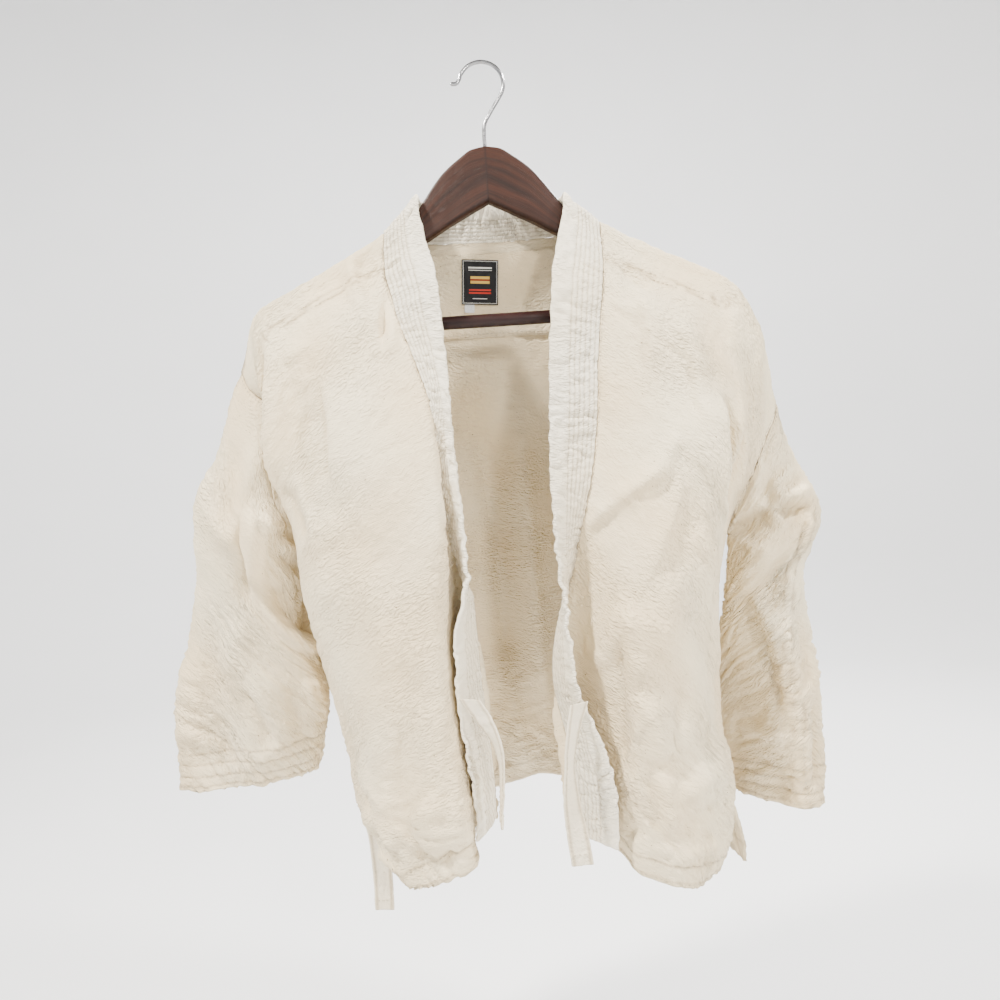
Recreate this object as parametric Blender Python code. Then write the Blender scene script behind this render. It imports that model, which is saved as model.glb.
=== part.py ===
"""Karate jacket of unbleached cotton, hanging open on a contoured wooden hanger with a trouser bar.

Tables are in millimetres, and MM turns them into Blender's metres. X runs to the viewer's right, Y away
from the viewer and Z up. The origin is the inner top of the hook, from which it all hangs.
"""

from typing import NamedTuple

import bmesh
import bpy
import numpy as np
from mathutils import Vector

MM = 0.001

# Cloth sizes
CLOTH = 2.0
BAND_THICK = 3.0
BAND_WIDTH = 45.0
SEAM_GAP = 0.3
YOKE_THICK = 1.2
LABEL_THICK = 0.9
LAYER_GAP = 0.35
TIE_THICK = 1.3
TIE_WIDTH = 18.0
LABEL_WIDTH = 36.0
LABEL_HEIGHT = 43.0
LABEL_MIDDLE = (-13.0, -195.0)
LABEL_TILT = -4.0
LABEL_SEAT = 0.8
YOKE_COLUMN = 12
YOKE_TOP_ROW = 2
YOKE_LAST_ROW = 6
YOKE_MARGIN = 3.0

# Hanger sizes
WOOD_THICK = 13.0
WOOD_BOW = 20.0
WOOD_EDGE = 4.0
WOOD_HALF_SPAN = 213.0
BAR_DIAMETER = 12.0
BAR_HEIGHT = -245.0
BAR_SHOULDER_X = 183.0
TENON_DIAMETER = 7.0
TENON_LENGTH = 13.0
BORE_CLEARANCE = 0.3
WIRE_DIAMETER = 3.6
HOOK_RADIUS = 21.0
STEM_DEPTH = 22.0
HOOK_ANGLES = [-25, 0, 30, 60, 90, 120, 148, 165]
HOOK_TIP = [(-23.4, -17.4), (-29, -17)]

# Grid of each panel
ROW_ARMPIT = 9
ROW_SLIT = 20
ROW_HEM = 24
COLUMNS = 16
BAND_COLUMNS = 3
NECK_COLUMNS = 12
NECK_SHARE = 0.64
SLEEVE_RINGS = 17
LEVEL_STEP = 6.0
CURVE_SAMPLES = 90
MITRE_LIMIT = 0.42


class Wood(NamedTuple):
    """A section of the hanger's arm: its top and its bottom at a distance from the middle."""

    x: float
    top: float
    bottom: float


class Shoulder(NamedTuple):
    """A point of the shoulder line, from the armhole seam in to the collar seam."""

    x: float
    z: float


class Front(NamedTuple):
    """A level section of a front in plan: side seam, cheek, crown, the turned-in fold, and the band's edge."""

    z: float
    side_x: float
    side_y: float
    cheek_x: float
    cheek_y: float
    crown_x: float
    crown_y: float
    valley_x: float
    valley_y: float
    root_x: float
    root_y: float
    edge_x: float
    edge_y: float


class Side(NamedTuple):
    """Heights down one side of the body, and the corner where the back's slit meets its hem."""

    armpit: float
    slit_top: float
    corner_x: float
    corner_y: float


class Hem(NamedTuple):
    """A hem height at a share of the way across a panel."""

    across: float
    z: float


class Back(NamedTuple):
    """How far the middle of the back stands behind the hanger at one height."""

    z: float
    middle_y: float


class Sleeve(NamedTuple):
    """A section of a sleeve: its outer fold, its inner fold and half its depth."""

    along: float
    outer_x: float
    outer_y: float
    outer_z: float
    inner_x: float
    inner_y: float
    inner_z: float
    depth: float


class Fold(NamedTuple):
    """A ridge, or with a negative height a trough, that runs between two points of a panel.

    across and down are shares of the panel. rise and fall are the widths of its two flanks as shares
    of the panel's width, before and after the line. Unequal flanks make a fold that laps over.
    """

    across_top: float
    down_top: float
    across_end: float
    down_end: float
    height: float
    rise: float
    fall: float


class RibbonPoint(NamedTuple):
    """A point of a tie's centre line, with the turn of its width about the vertical, in degrees."""

    x: float
    y: float
    z: float
    turn: float


WOOD = [
    Wood(0, -79, -131.5), Wood(13, -81.5, -138), Wood(26, -90, -145), Wood(40, -101.5, -152.5),
    Wood(50, -113, -158.5), Wood(60, -127, -164.5), Wood(76, -147.5, -173), Wood(100, -164.5, -187),
    Wood(140, -186, -212), Wood(166, -200, -230), Wood(180, -208, -244), Wood(190, -213.5, -252),
    Wood(202, -221, -255), Wood(210, -229, -251.5), Wood(213, -236, -245),
]

LEFT_SHOULDER = [
    Shoulder(-241, -275), Shoulder(-230, -251), Shoulder(-217.5, -230), Shoulder(-204, -219.4),
    Shoulder(-180, -206), Shoulder(-140, -183.8), Shoulder(-98, -157.5),
]
RIGHT_SHOULDER = [
    Shoulder(256, -334), Shoulder(250, -308), Shoulder(241, -284), Shoulder(230, -257),
    Shoulder(219, -234), Shoulder(204, -219.6), Shoulder(180, -206), Shoulder(140, -183.8),
    Shoulder(100, -159),
]

LEFT_FRONT = [
    Front(-165, -238, -6, -205, -18, -140, -22, -108, -17, -92, -16, -62, -20),
    Front(-235, -238, -10, -203, -32, -115, -41, -96, -34, -80, -30, -49, -46),
    Front(-290, -218, -14, -206, -38, -78, -56, -62, -50, -53, -40, -45, -58),
    Front(-330, -206, -15, -200, -42, -68, -69, -60, -56, -50, -45, -44, -66),
    Front(-380, -207, -18, -196, -48, -64, -80, -58, -58, -46, -49, -42, -73),
    Front(-433, -190, -8, -180, -53, -62, -88, -57, -54, -43, -46, -38, -77),
    Front(-480, -187, -2, -175, -56, -67, -91, -54, -47, -39, -41, -38, -81),
    Front(-507, -184, 0, -171, -57, -70, -92, -52, -42, -36, -37, -49, -86),
    Front(-565, -173, 2, -160, -56, -68, -95, -49, -37, -30, -33, -52, -89),
    Front(-640, -161, 2, -149, -54, -60, -97, -45, -39, -26, -35, -44, -91),
    Front(-678, -156, -2, -144, -56, -60, -96, -46, -43, -28, -40, -42, -90),
    Front(-702, -130, -40, -122, -70, -64, -97, -48, -51, -31, -47, -42, -90),
    Front(-730, -94, -74, -98, -86, -72, -97, -54, -60, -38, -55, -44, -90),
]
RIGHT_FRONT = [
    Front(-165, 254, -6, 206, -18, 150, -24, 112, -21, 98, -19, 60, -20),
    Front(-235, 256, -8, 204, -32, 150, -45, 108, -41, 92, -38, 50, -43),
    Front(-300, 256, -8, 198, -39, 140, -56, 98, -50, 82, -46, 42, -54),
    Front(-334, 256, -2, 194, -43, 134, -61, 92, -53, 76, -48, 40, -59),
    Front(-371, 241, -10, 188, -48, 126, -68, 84, -56, 67, -50, 37, -65),
    Front(-400, 227, -12, 184, -53, 120, -74, 74, -58, 56, -50, 36, -69),
    Front(-438, 207, -6, 179, -57, 116, -82, 66, -56, 48, -46, 36, -73),
    Front(-500, 188, 0, 171, -59, 98, -91, 58, -48, 38, -42, 41, -80),
    Front(-565, 184, 0, 168, -58, 90, -94, 52, -44, 30, -40, 45, -87),
    Front(-610, 184, 0, 168, -56, 96, -96, 50, -42, 27, -38, 62, -92),
    Front(-662, 185, -2, 170, -55, 102, -97, 52, -42, 28, -37, 72, -93),
    Front(-710, 179, -18, 164, -56, 112, -94, 58, -46, 34, -42, 70, -90),
    Front(-752, 165, -34, 152, -60, 118, -90, 62, -50, 40, -47, 70, -88),
]
LEFT_SIDE = Side(-433, -678, -148, 14)
RIGHT_SIDE = Side(-438, -662, 206, 16)
LEFT_FRONT_HEM = [Hem(0, -722), Hem(0.25, -723), Hem(0.5, -713), Hem(0.75, -699), Hem(1, -688)]
RIGHT_FRONT_HEM = [Hem(0, -740), Hem(0.3, -740), Hem(0.5, -733), Hem(0.75, -711), Hem(1, -702)]
LEFT_BACK_HEM = [Hem(0, -749), Hem(0.35, -740), Hem(0.7, -722), Hem(1, -708)]
RIGHT_BACK_HEM = [Hem(0, -771), Hem(0.35, -754), Hem(0.7, -727), Hem(1, -708)]

BACK = [
    Back(-150, 34), Back(-250, 45), Back(-350, 62), Back(-450, 82), Back(-550, 98), Back(-650, 107),
    Back(-780, 108),
]
BACK_SPREAD = 82.0
ARMHOLE_GAPE = 32.0

NECK_SEAM_DEPTH = 34.0
NECK_SEAM_HEIGHT = -157.0
NECK_EDGE_LEFT = (-64.0, -124.5)
NECK_EDGE_RIGHT = (68.0, -131.0)
NECK_EDGE_DEPTH = 28.0
NECK_EDGE_HEIGHT = -121.5
NECK_EDGE_SIDE_Y = -2.0
BAND_FALL = 130.0
BAND_SADDLE = 1.25

# How the cloth bends over the wood's rounded top edge, row by row
SADDLE_OUT = [0.0, 6.2, 9.8, 10.6]
SADDLE_DROP = [0.0, 0.25, 5.6, 17.0]
NECK_DROP = [0.0, 4.0, 9.0, 17.0]
SADDLE_EASE = 60.0
SADDLE_ZONE = 0.1
SIDE_ZONE = 0.3

LEFT_SLEEVE = [
    Sleeve(0.00, -241, 0, -275, -190, -8, -433, 18),
    Sleeve(0.16, -264, 1, -337, -197, 4, -468, 26),
    Sleeve(0.30, -283, 4, -392, -195, 8, -501, 33),
    Sleeve(0.46, -300, 8, -457, -191, 10, -538, 34),
    Sleeve(0.62, -312, 12, -521, -185, 12, -575, 32),
    Sleeve(0.78, -322, 15, -585, -188, 14, -605, 30),
    Sleeve(0.90, -327, 16, -632, -194, 15, -633, 28),
    Sleeve(1.00, -330, 16, -664, -199, 16, -654, 27),
]
RIGHT_SLEEVE = [
    Sleeve(0.00, 256, 0, -334, 207, -6, -438, 16),
    Sleeve(0.10, 267, 0, -378, 207, 6, -462, 24),
    Sleeve(0.20, 280, -2, -412, 206, 14, -490, 31),
    Sleeve(0.28, 289, -4, -438, 205, 22, -514, 33),
    Sleeve(0.35, 283, -8, -460, 204, 28, -534, 31),
    Sleeve(0.43, 265, -12, -488, 202, 36, -558, 27),
    Sleeve(0.57, 259, -18, -533, 202, 46, -592, 26),
    Sleeve(0.73, 262, -26, -590, 204, 60, -634, 25),
    Sleeve(0.90, 261, -32, -655, 214, 74, -684, 24),
    Sleeve(1.00, 253, -35, -700, 224, 82, -716, 24),
]

LEFT_FRONT_FOLDS = [
    Fold(0.62, 0.10, 0.50, 0.55, 7, 0.10, 0.16),
    Fold(0.80, 0.06, 0.84, 0.22, 7, 0.05, 0.03),
    Fold(0.30, 0.12, 0.38, 0.45, -6, 0.09, 0.09),
    Fold(0.22, 0.62, 0.16, 0.98, -8, 0.08, 0.06),
    Fold(0.40, 0.70, 0.36, 1.02, 7, 0.08, 0.10),
    Fold(0.55, 0.86, 0.62, 1.02, 12, 0.06, 0.10),
]
RIGHT_FRONT_FOLDS = [
    Fold(0.30, 0.15, 0.33, 0.42, 16, 0.035, 0.20),
    Fold(0.62, 0.10, 0.46, 0.48, 6, 0.08, 0.12),
    Fold(0.30, 0.44, 0.58, 0.66, 8, 0.10, 0.12),
    Fold(0.52, 0.48, 0.30, 0.70, -7, 0.08, 0.10),
    Fold(0.42, 0.66, 0.50, 0.98, -10, 0.07, 0.07),
    Fold(0.24, 0.74, 0.20, 1.02, 6, 0.09, 0.09),
]
BACK_FOLDS = [
    Fold(0.18, 0.10, 0.22, 0.60, -9, 0.05, 0.05),
    Fold(0.30, 0.30, 0.27, 1.05, 10, 0.05, 0.06),
    Fold(0.42, 0.25, 0.40, 1.05, -8, 0.05, 0.04),
    Fold(0.56, 0.20, 0.58, 1.05, 7, 0.05, 0.05),
    Fold(0.68, 0.35, 0.72, 1.05, -10, 0.05, 0.05),
    Fold(0.82, 0.12, 0.78, 0.62, 9, 0.05, 0.05),
    Fold(0.84, 0.60, 0.87, 1.05, -8, 0.05, 0.05),
]
LEFT_SLEEVE_FOLDS = [
    Fold(0.16, 0.10, 0.34, 0.34, 12, 0.10, 0.05),
    Fold(0.34, 0.02, 0.30, 0.40, 7, 0.06, 0.03),
    Fold(0.40, 0.35, 0.26, 1.02, -7, 0.06, 0.06),
    Fold(0.22, 0.55, 0.18, 1.02, 6, 0.07, 0.07),
    Fold(0.70, 0.15, 0.62, 0.90, 8, 0.07, 0.07),
    Fold(0.84, 0.25, 0.80, 1.02, -6, 0.06, 0.06),
]
RIGHT_SLEEVE_FOLDS = [
    Fold(0.20, 0.18, 0.20, 0.34, 8, 0.08, 0.08),
    Fold(0.12, 0.42, 0.30, 0.95, -6, 0.07, 0.07),
    Fold(0.36, 0.40, 0.34, 1.02, 5, 0.06, 0.06),
    Fold(0.66, 0.15, 0.64, 0.90, 7, 0.07, 0.07),
    Fold(0.84, 0.30, 0.80, 1.02, -6, 0.06, 0.06),
]

SIDE_TIE = [
    RibbonPoint(-142.8, -12.6, -689.5, 25), RibbonPoint(-139.8, -12.6, -707.5, 15),
    RibbonPoint(-137.8, -13.6, -727.5, 8), RibbonPoint(-136.8, -14.6, -751.5, 2),
    RibbonPoint(-136.8, -15.6, -778.5, -6),
]
RIGHT_LAPEL_TIE = [
    RibbonPoint(46.3, -94.8, -578.6, 30), RibbonPoint(40.3, -97.8, -597.6, 44),
    RibbonPoint(35.3, -98.8, -626.6, 60), RibbonPoint(34.3, -99.8, -650.6, 46),
    RibbonPoint(37.3, -100.8, -680.6, 14), RibbonPoint(40.3, -101.8, -706.6, 4),
]
LEFT_LAPEL_TIE = [
    RibbonPoint(-42, -93.7, -570.2, -20), RibbonPoint(-31, -96.7, -588.2, -30), RibbonPoint(-22, -98.7, -608.2, -60),
    RibbonPoint(-20, -98.7, -632.2, -80), RibbonPoint(-23, -97.7, -672.2, -84),
]

COTTON = (0.82, 0.76, 0.64)
BAND_COTTON = (0.86, 0.83, 0.75)
TAPE = (0.85, 0.81, 0.71)
WALNUT = (0.13, 0.055, 0.03)
DARK_BAR = (0.09, 0.032, 0.022)
CHROME = (0.62, 0.62, 0.64)
BLACK_SATIN = (0.012, 0.012, 0.014)


def smooth_step(value):
    """0 below 0, 1 above 1, and an S-curve between."""
    held = np.clip(value, 0.0, 1.0)
    return held * held * (3.0 - 2.0 * held)


def smooth_column(knots, values, at):
    """Reads a table's column at any place with a smooth curve that never overshoots its rows."""
    order = np.argsort(knots)
    x = np.asarray(knots, float)[order]
    y = np.asarray(values, float)[order]
    step = np.diff(x)
    slope = np.diff(y) / step
    tangent = np.zeros_like(y)
    product = slope[:-1] * slope[1:]
    total = slope[:-1] + slope[1:]
    tangent[1:-1] = np.where(product > 0, 2.0 * product / np.where(total == 0, 1.0, total), 0.0)
    tangent[0] = slope[0]
    tangent[-1] = slope[-1]
    place = np.clip(np.asarray(at, float), x[0], x[-1])
    i = np.clip(np.searchsorted(x, place, side="right") - 1, 0, len(x) - 2)
    s = (place - x[i]) / step[i]
    rest = 1.0 - s
    return (
        (1 + 2 * s) * rest**2 * y[i]
        + s * rest**2 * step[i] * tangent[i]
        + s**2 * (3 - 2 * s) * y[i + 1]
        - s**2 * rest * step[i] * tangent[i + 1]
    )


def spread_evenly(points, count):
    """Places count points at equal steps of length along a polyline."""
    steps = np.linalg.norm(np.diff(points, axis=0), axis=1)
    travel = np.concatenate([[0.0], np.cumsum(steps)])
    wanted = np.linspace(0.0, travel[-1], count)
    even = [np.interp(wanted, travel, points[:, k]) for k in range(points.shape[1])]
    return np.stack(even, axis=1), travel[-1]


def round_curve(points, per_span=12):
    """A smooth curve through the points, with tangents along each point's two neighbours."""
    p = np.asarray(points, float)
    chord = np.sqrt(np.linalg.norm(np.diff(p, axis=0), axis=1)) + 1e-9
    knot = np.concatenate([[0.0], np.cumsum(chord)])
    tangent = np.zeros_like(p)
    tangent[1:-1] = (p[2:] - p[:-2]) / (knot[2:] - knot[:-2])[:, None]
    tangent[0] = (p[1] - p[0]) / chord[0]
    tangent[-1] = (p[-1] - p[-2]) / chord[-1]
    pieces = []
    for i in range(len(p) - 1):
        s = np.linspace(0.0, 1.0, per_span, endpoint=i == len(p) - 2)[:, None]
        rest = 1.0 - s
        pieces.append(
            (1 + 2 * s) * rest**2 * p[i]
            + s * rest**2 * chord[i] * tangent[i]
            + s**2 * (3 - 2 * s) * p[i + 1]
            - s**2 * rest * chord[i] * tangent[i + 1]
        )
    return np.concatenate(pieces)


def column(table, name):
    """One named column of a table."""
    return [getattr(row, name) for row in table]


def wood_bow(x):
    """How far forward the contoured hanger lies at a distance from its middle."""
    return -WOOD_BOW * (np.abs(x) / WOOD_HALF_SPAN) ** 2


class FrontShape:
    """One front with its half of the collar band, as level sections joined to the shoulder line."""

    def __init__(self, sections, shoulder, side, hem):
        """Works out the plan curve at every level from the section table."""
        self.side = side
        self.sections = sections
        self.shoulder, _ = spread_evenly(round_curve(shoulder), CURVE_SAMPLES)
        self.hem = hem
        self.levels = np.arange(-150.0, -790.0, -LEVEL_STEP)
        height = column(sections, "z")
        names = ["side", "cheek", "crown", "valley", "root", "edge"]
        at = {
            part + axis: smooth_column(height, column(sections, part + axis), self.levels)
            for part in names
            for axis in ("_x", "_y")
        }
        self.curves = []
        self.lengths = []
        for k in range(len(self.levels)):
            knots = [(at[part + "_x"][k], at[part + "_y"][k]) for part in names]
            curve, length = spread_evenly(round_curve(knots), CURVE_SAMPLES)
            self.curves.append(curve)
            self.lengths.append(length)
        self.curves = np.array(self.curves)
        self.lengths = np.array(self.lengths)

    def plan(self, z, share):
        """The plan point at a height, a share of the way from side seam to collar seam, past 1 on the band."""
        level = np.clip((self.levels[0] - z) / LEVEL_STEP, 0, len(self.levels) - 1.001)
        low = int(level)
        mix = level - low
        length = self.lengths[low] * (1 - mix) + self.lengths[low + 1] * mix
        panel = length - BAND_WIDTH
        distance = panel * share if share <= 1 else panel + BAND_WIDTH * (share - 1)
        place = np.clip(distance / length, 0, 1) * (CURVE_SAMPLES - 1)
        first = min(int(place), CURVE_SAMPLES - 2)
        part = place - first
        near = self.curves[low, first] * (1 - part) + self.curves[low, first + 1] * part
        far = self.curves[low + 1, first] * (1 - part) + self.curves[low + 1, first + 1] * part
        return near * (1 - mix) + far * mix

    def shoulder_point(self, share):
        """The shoulder line's point, from the armhole seam at 0 to the collar seam at 1."""
        place = np.clip(share, 0, 1) * (CURVE_SAMPLES - 1)
        first = min(int(place), CURVE_SAMPLES - 2)
        part = place - first
        x, z = self.shoulder[first] * (1 - part) + self.shoulder[first + 1] * part
        return x, wood_bow(x) * smooth_step(share / SIDE_ZONE), z

    def height(self, share, row, hem):
        """The height of a grid row, a share of the way across the panel."""
        top = self.shoulder_point(share)[2]
        bottom = smooth_column(column(hem, "across"), column(hem, "z"), share)
        anchors = [top, self.side.armpit, self.side.slit_top, bottom]
        beside = np.interp(row, [0, ROW_ARMPIT, ROW_SLIT, ROW_HEM], anchors)
        last = len(SADDLE_DROP) - 1
        if row <= last:
            fallen = top - np.interp(row, range(last + 1), SADDLE_DROP)
        else:
            start = top - SADDLE_DROP[last]
            fallen = start + (bottom - start) * (row - last) / (ROW_HEM - last)
        mix = smooth_step(share / SIDE_ZONE)
        return beside * (1 - mix) + fallen * mix

    def settle(self, share, row):
        """How far a row has left the shoulder line for the hanging sections, from 0 to 1."""
        last = len(SADDLE_DROP) - 1
        drop = np.interp(row, range(last + 1), SADDLE_DROP) if row <= last else 17.0 + (row - last) * 25.0
        plain = smooth_step((drop - 5.0) / SADDLE_EASE)
        beside = smooth_step(row / 2.5)
        mix = smooth_step(share / SIDE_ZONE)
        return beside * (1 - mix) + plain * mix

    def saddle(self, share, row):
        """How far the cloth stands out round the wood's top edge."""
        out = np.interp(row, range(len(SADDLE_OUT)), SADDLE_OUT)
        return out * smooth_step(share / SADDLE_ZONE)

    def point(self, share, row):
        """A point of the front's middle surface."""
        x, y, _ = self.shoulder_point(share)
        z = self.height(share, row, self.hem)
        settle = self.settle(share, row)
        plan = self.plan(z, share)
        out = self.saddle(share, row)
        return np.array([
            x * (1 - settle) + plan[0] * settle,
            (y - out) * (1 - settle) + plan[1] * settle,
            z,
        ])

    def band_edge(self, row):
        """A point of the band's free edge, level with a row of the collar seam."""
        seam = self.point(1.0, row)
        settle = self.settle(1.0, row)
        plan = self.plan(seam[2], 2.0)
        edge_x, edge_z = NECK_EDGE_RIGHT if self.shoulder[0][0] > 0 else NECK_EDGE_LEFT
        top_z = self.shoulder_point(1.0)[2]
        lift = (edge_z - top_z) * (1 - smooth_step((top_z - seam[2]) / BAND_FALL))
        start = np.array([edge_x, NECK_EDGE_SIDE_Y - self.saddle(1.0, row) * BAND_SADDLE])
        flat = start * (1 - settle) + plan * settle
        return np.array([flat[0], flat[1], seam[2] + lift])


def front_grid(shape):
    """Rows of points over a front, from its side to the collar seam."""
    return np.array([
        [shape.point(c / COLUMNS, row) for c in range(COLUMNS + 1)] for row in range(ROW_HEM + 1)
    ])


def back_side(shape, hem, z):
    """The back's own side line: apart from the front's at the armhole and below the slit."""
    side = shape.side
    top_x, _, top_z = shape.shoulder_point(0.0)
    if z > side.armpit:
        share = np.clip((top_z - z) / (top_z - side.armpit), 0, 1)
        under = shape.plan(side.armpit, 0.0)
        x = top_x * (1 - share**1.4) + under[0] * share**1.4
        return np.array([x, under[1] * share + ARMHOLE_GAPE * np.sin(np.pi * share)])
    if z > side.slit_top:
        return shape.plan(z, 0.0)
    start = shape.plan(side.slit_top, 0.0)
    drop = smooth_step((side.slit_top - z) / (side.slit_top - hem[0].z))
    return start * (1 - drop) + np.array([side.corner_x, side.corner_y]) * drop


def back_point(left, right, side, share, row):
    """A point of the back. share runs from 0 at one side seam, in to 1 at the middle of the back."""
    shape = left if side < 0 else right
    hem = LEFT_BACK_HEM if side < 0 else RIGHT_BACK_HEM
    neck = NECK_SHARE
    along = min(share / neck, 1.0)
    x, y, top = shape.shoulder_point(along)
    angle = 0.5 * np.pi * max(share - neck, 0.0) / (1 - neck)
    free = np.sin(angle) ** 2
    if free > 0:
        y = y * np.cos(angle) + NECK_SEAM_DEPTH * np.sin(angle) ** 0.8
        top = top * (1 - free) + NECK_SEAM_HEIGHT * free
        x = x * np.cos(angle)
    steps = np.array(SADDLE_DROP) * (1 - free) + np.array(NECK_DROP) * free
    bottom = smooth_column(column(hem, "across"), column(hem, "z"), share)
    anchors = [top, shape.side.armpit, shape.side.slit_top, bottom]
    beside = np.interp(row, [0, ROW_ARMPIT, ROW_SLIT, ROW_HEM], anchors)
    last = len(steps) - 1
    if row <= last:
        fallen = top - steps[row]
    else:
        start = top - steps[last]
        fallen = start + (bottom - start) * (row - last) / (ROW_HEM - last)
    mix = smooth_step(along / SIDE_ZONE)
    z = beside * (1 - mix) + fallen * mix
    sides = {-1: back_side(left, LEFT_BACK_HEM, z), 1: back_side(right, RIGHT_BACK_HEM, z)}
    middle_y = smooth_column(column(BACK, "z"), column(BACK, "middle_y"), z)
    spread = np.radians(BACK_SPREAD)
    angle = side * (1 - share) * spread
    reach = np.sin(angle) / np.sin(spread)
    swell = (np.cos(angle) - np.cos(spread)) / (1 - np.cos(spread))
    centre_x = 0.5 * (sides[-1][0] + sides[1][0])
    half = 0.5 * (sides[1][0] - sides[-1][0])
    plan_x = centre_x + half * reach
    plan_y = sides[side][1] + (middle_y - sides[side][1]) * swell
    settle = shape.settle(along, row)
    out = shape.saddle(along, row) * (1 - free)
    return np.array([x * (1 - settle) + plan_x * settle, (y + out) * (1 - settle) + plan_y * settle, z])


def back_grid(left, right):
    """Rows of points over the back, from the left side seam to the right one."""
    half = NECK_COLUMNS // 2
    shares = [NECK_SHARE * c / COLUMNS for c in range(COLUMNS + 1)]
    shares += [NECK_SHARE + (1 - NECK_SHARE) * (c + 1) / half for c in range(half)]
    places = [(-1, s) for s in shares] + [(1, s) for s in reversed(shares[:-1])]
    return np.array([
        [back_point(left, right, side, share, row) for side, share in places]
        for row in range(ROW_HEM + 1)
    ])


def band_grid(left, right, back):
    """Rows of points across the collar band, along its whole length from hem to hem."""
    stations = [(left.point(1.0, row), left.band_edge(row)) for row in range(ROW_HEM, -1, -1)]
    for c in range(1, NECK_COLUMNS):
        angle = np.pi * c / NECK_COLUMNS
        seam = back[0, COLUMNS + c]
        rise = np.sin(angle) ** 0.8
        edge_x, edge_z = NECK_EDGE_LEFT if angle < np.pi / 2 else NECK_EDGE_RIGHT
        edge = np.array([
            edge_x * abs(np.cos(angle)),
            NECK_EDGE_SIDE_Y + (NECK_EDGE_DEPTH - NECK_EDGE_SIDE_Y) * rise,
            edge_z + (NECK_EDGE_HEIGHT - edge_z) * rise,
        ])
        stations.append((seam, edge))
    stations += [(right.point(1.0, row), right.band_edge(row)) for row in range(ROW_HEM + 1)]
    across = np.linspace(0.0, 1.0, BAND_COLUMNS + 1)
    return np.array([[seam * (1 - s) + edge * s for s in across] for seam, edge in stations])


def sleeve_grid(table, front, back):
    """Rings of points down a sleeve, from the armhole's own loop of points to the cuff."""
    loop = np.concatenate([front[ROW_ARMPIT::-1], back[1:ROW_ARMPIT + 1]])
    count = len(loop) - 1
    angles = np.pi * (1 - np.arange(count + 1) / ROW_ARMPIT)
    rings = []
    start = None
    for k in range(SLEEVE_RINGS + 1):
        along = k / SLEEVE_RINGS
        read = {
            name: float(smooth_column(column(table, "along"), column(table, name), along))
            for name in Sleeve._fields[1:]
        }
        outer = np.array([read["outer_x"], read["outer_y"], read["outer_z"]])
        inner = np.array([read["inner_x"], read["inner_y"], read["inner_z"]])
        level = (outer - inner) * [1, 1, 0]
        facing = np.array([-level[1], level[0], 0.0]) / np.linalg.norm(level)
        if facing[1] > 0:
            facing = -facing
        belly = np.sign(np.sin(angles)) * np.abs(np.sin(angles)) ** 0.75
        ring = (
            (outer + inner) / 2
            + np.cos(angles)[:, None] * (outer - inner) / 2
            + belly[:, None] * facing * read["depth"]
        )
        start = ring if start is None else start
        keep = 1 - smooth_step(along / 0.3)
        rings.append(ring + (loop - start) * keep)
    return np.array(rings)


def grid_normals(grid, turned, ring=False):
    """Unit normals of a grid's vertices, out of the garment. turned flips them."""
    down = np.gradient(grid, axis=0)
    if ring:
        wrapped = np.concatenate([grid[:, -2:-1], grid, grid[:, 1:2]], axis=1)
        over = (wrapped[:, 2:] - wrapped[:, :-2]) / 2
    else:
        over = np.gradient(grid, axis=1)
    normal = np.cross(over, down) * (-1 if turned else 1)
    return normal / np.maximum(np.linalg.norm(normal, axis=2, keepdims=True), 1e-9)


def fold_lift(folds, shape):
    """The height of all folds over a panel's grid, fading out at its seams."""
    rows, columns = shape
    down, across = np.meshgrid(np.linspace(0, 1, rows), np.linspace(0, 1, columns), indexing="ij")
    lift = np.zeros(shape)
    for fold in folds:
        span = fold.down_end - fold.down_top
        run = (down - fold.down_top) / span
        line = fold.across_top + (fold.across_end - fold.across_top) * np.clip(run, 0, 1)
        beside = across - line
        flank = np.where(beside < 0, fold.rise, fold.fall)
        profile = np.exp(-((beside / flank) ** 2))
        length = smooth_step(run / 0.3) * smooth_step((1 - run) / 0.25)
        lift += fold.height * profile * length
    edge = smooth_step(across / 0.08) * smooth_step((1 - across) / 0.08) * smooth_step(down / 0.08)
    return lift * edge


class Panel:
    """A grid of cloth that becomes one closed solid."""

    def __init__(self, name, grid, thick, turned, colour, ring=False):
        """Holds the middle surface of a panel and how it is to be thickened."""
        self.name = name
        self.grid = grid
        self.thick = thick
        self.turned = turned
        self.colour = colour
        self.ring = ring

    def raise_folds(self, folds):
        """Moves the middle surface along its normals by the fold table."""
        lift = fold_lift(folds, self.grid.shape[:2])
        self.grid = self.grid + grid_normals(self.grid, self.turned, self.ring) * lift[..., None]


def seam_key(point):
    """A point's place to a hundredth of a millimetre, shared by panels that meet there."""
    return tuple(np.round(point, 2))


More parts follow.
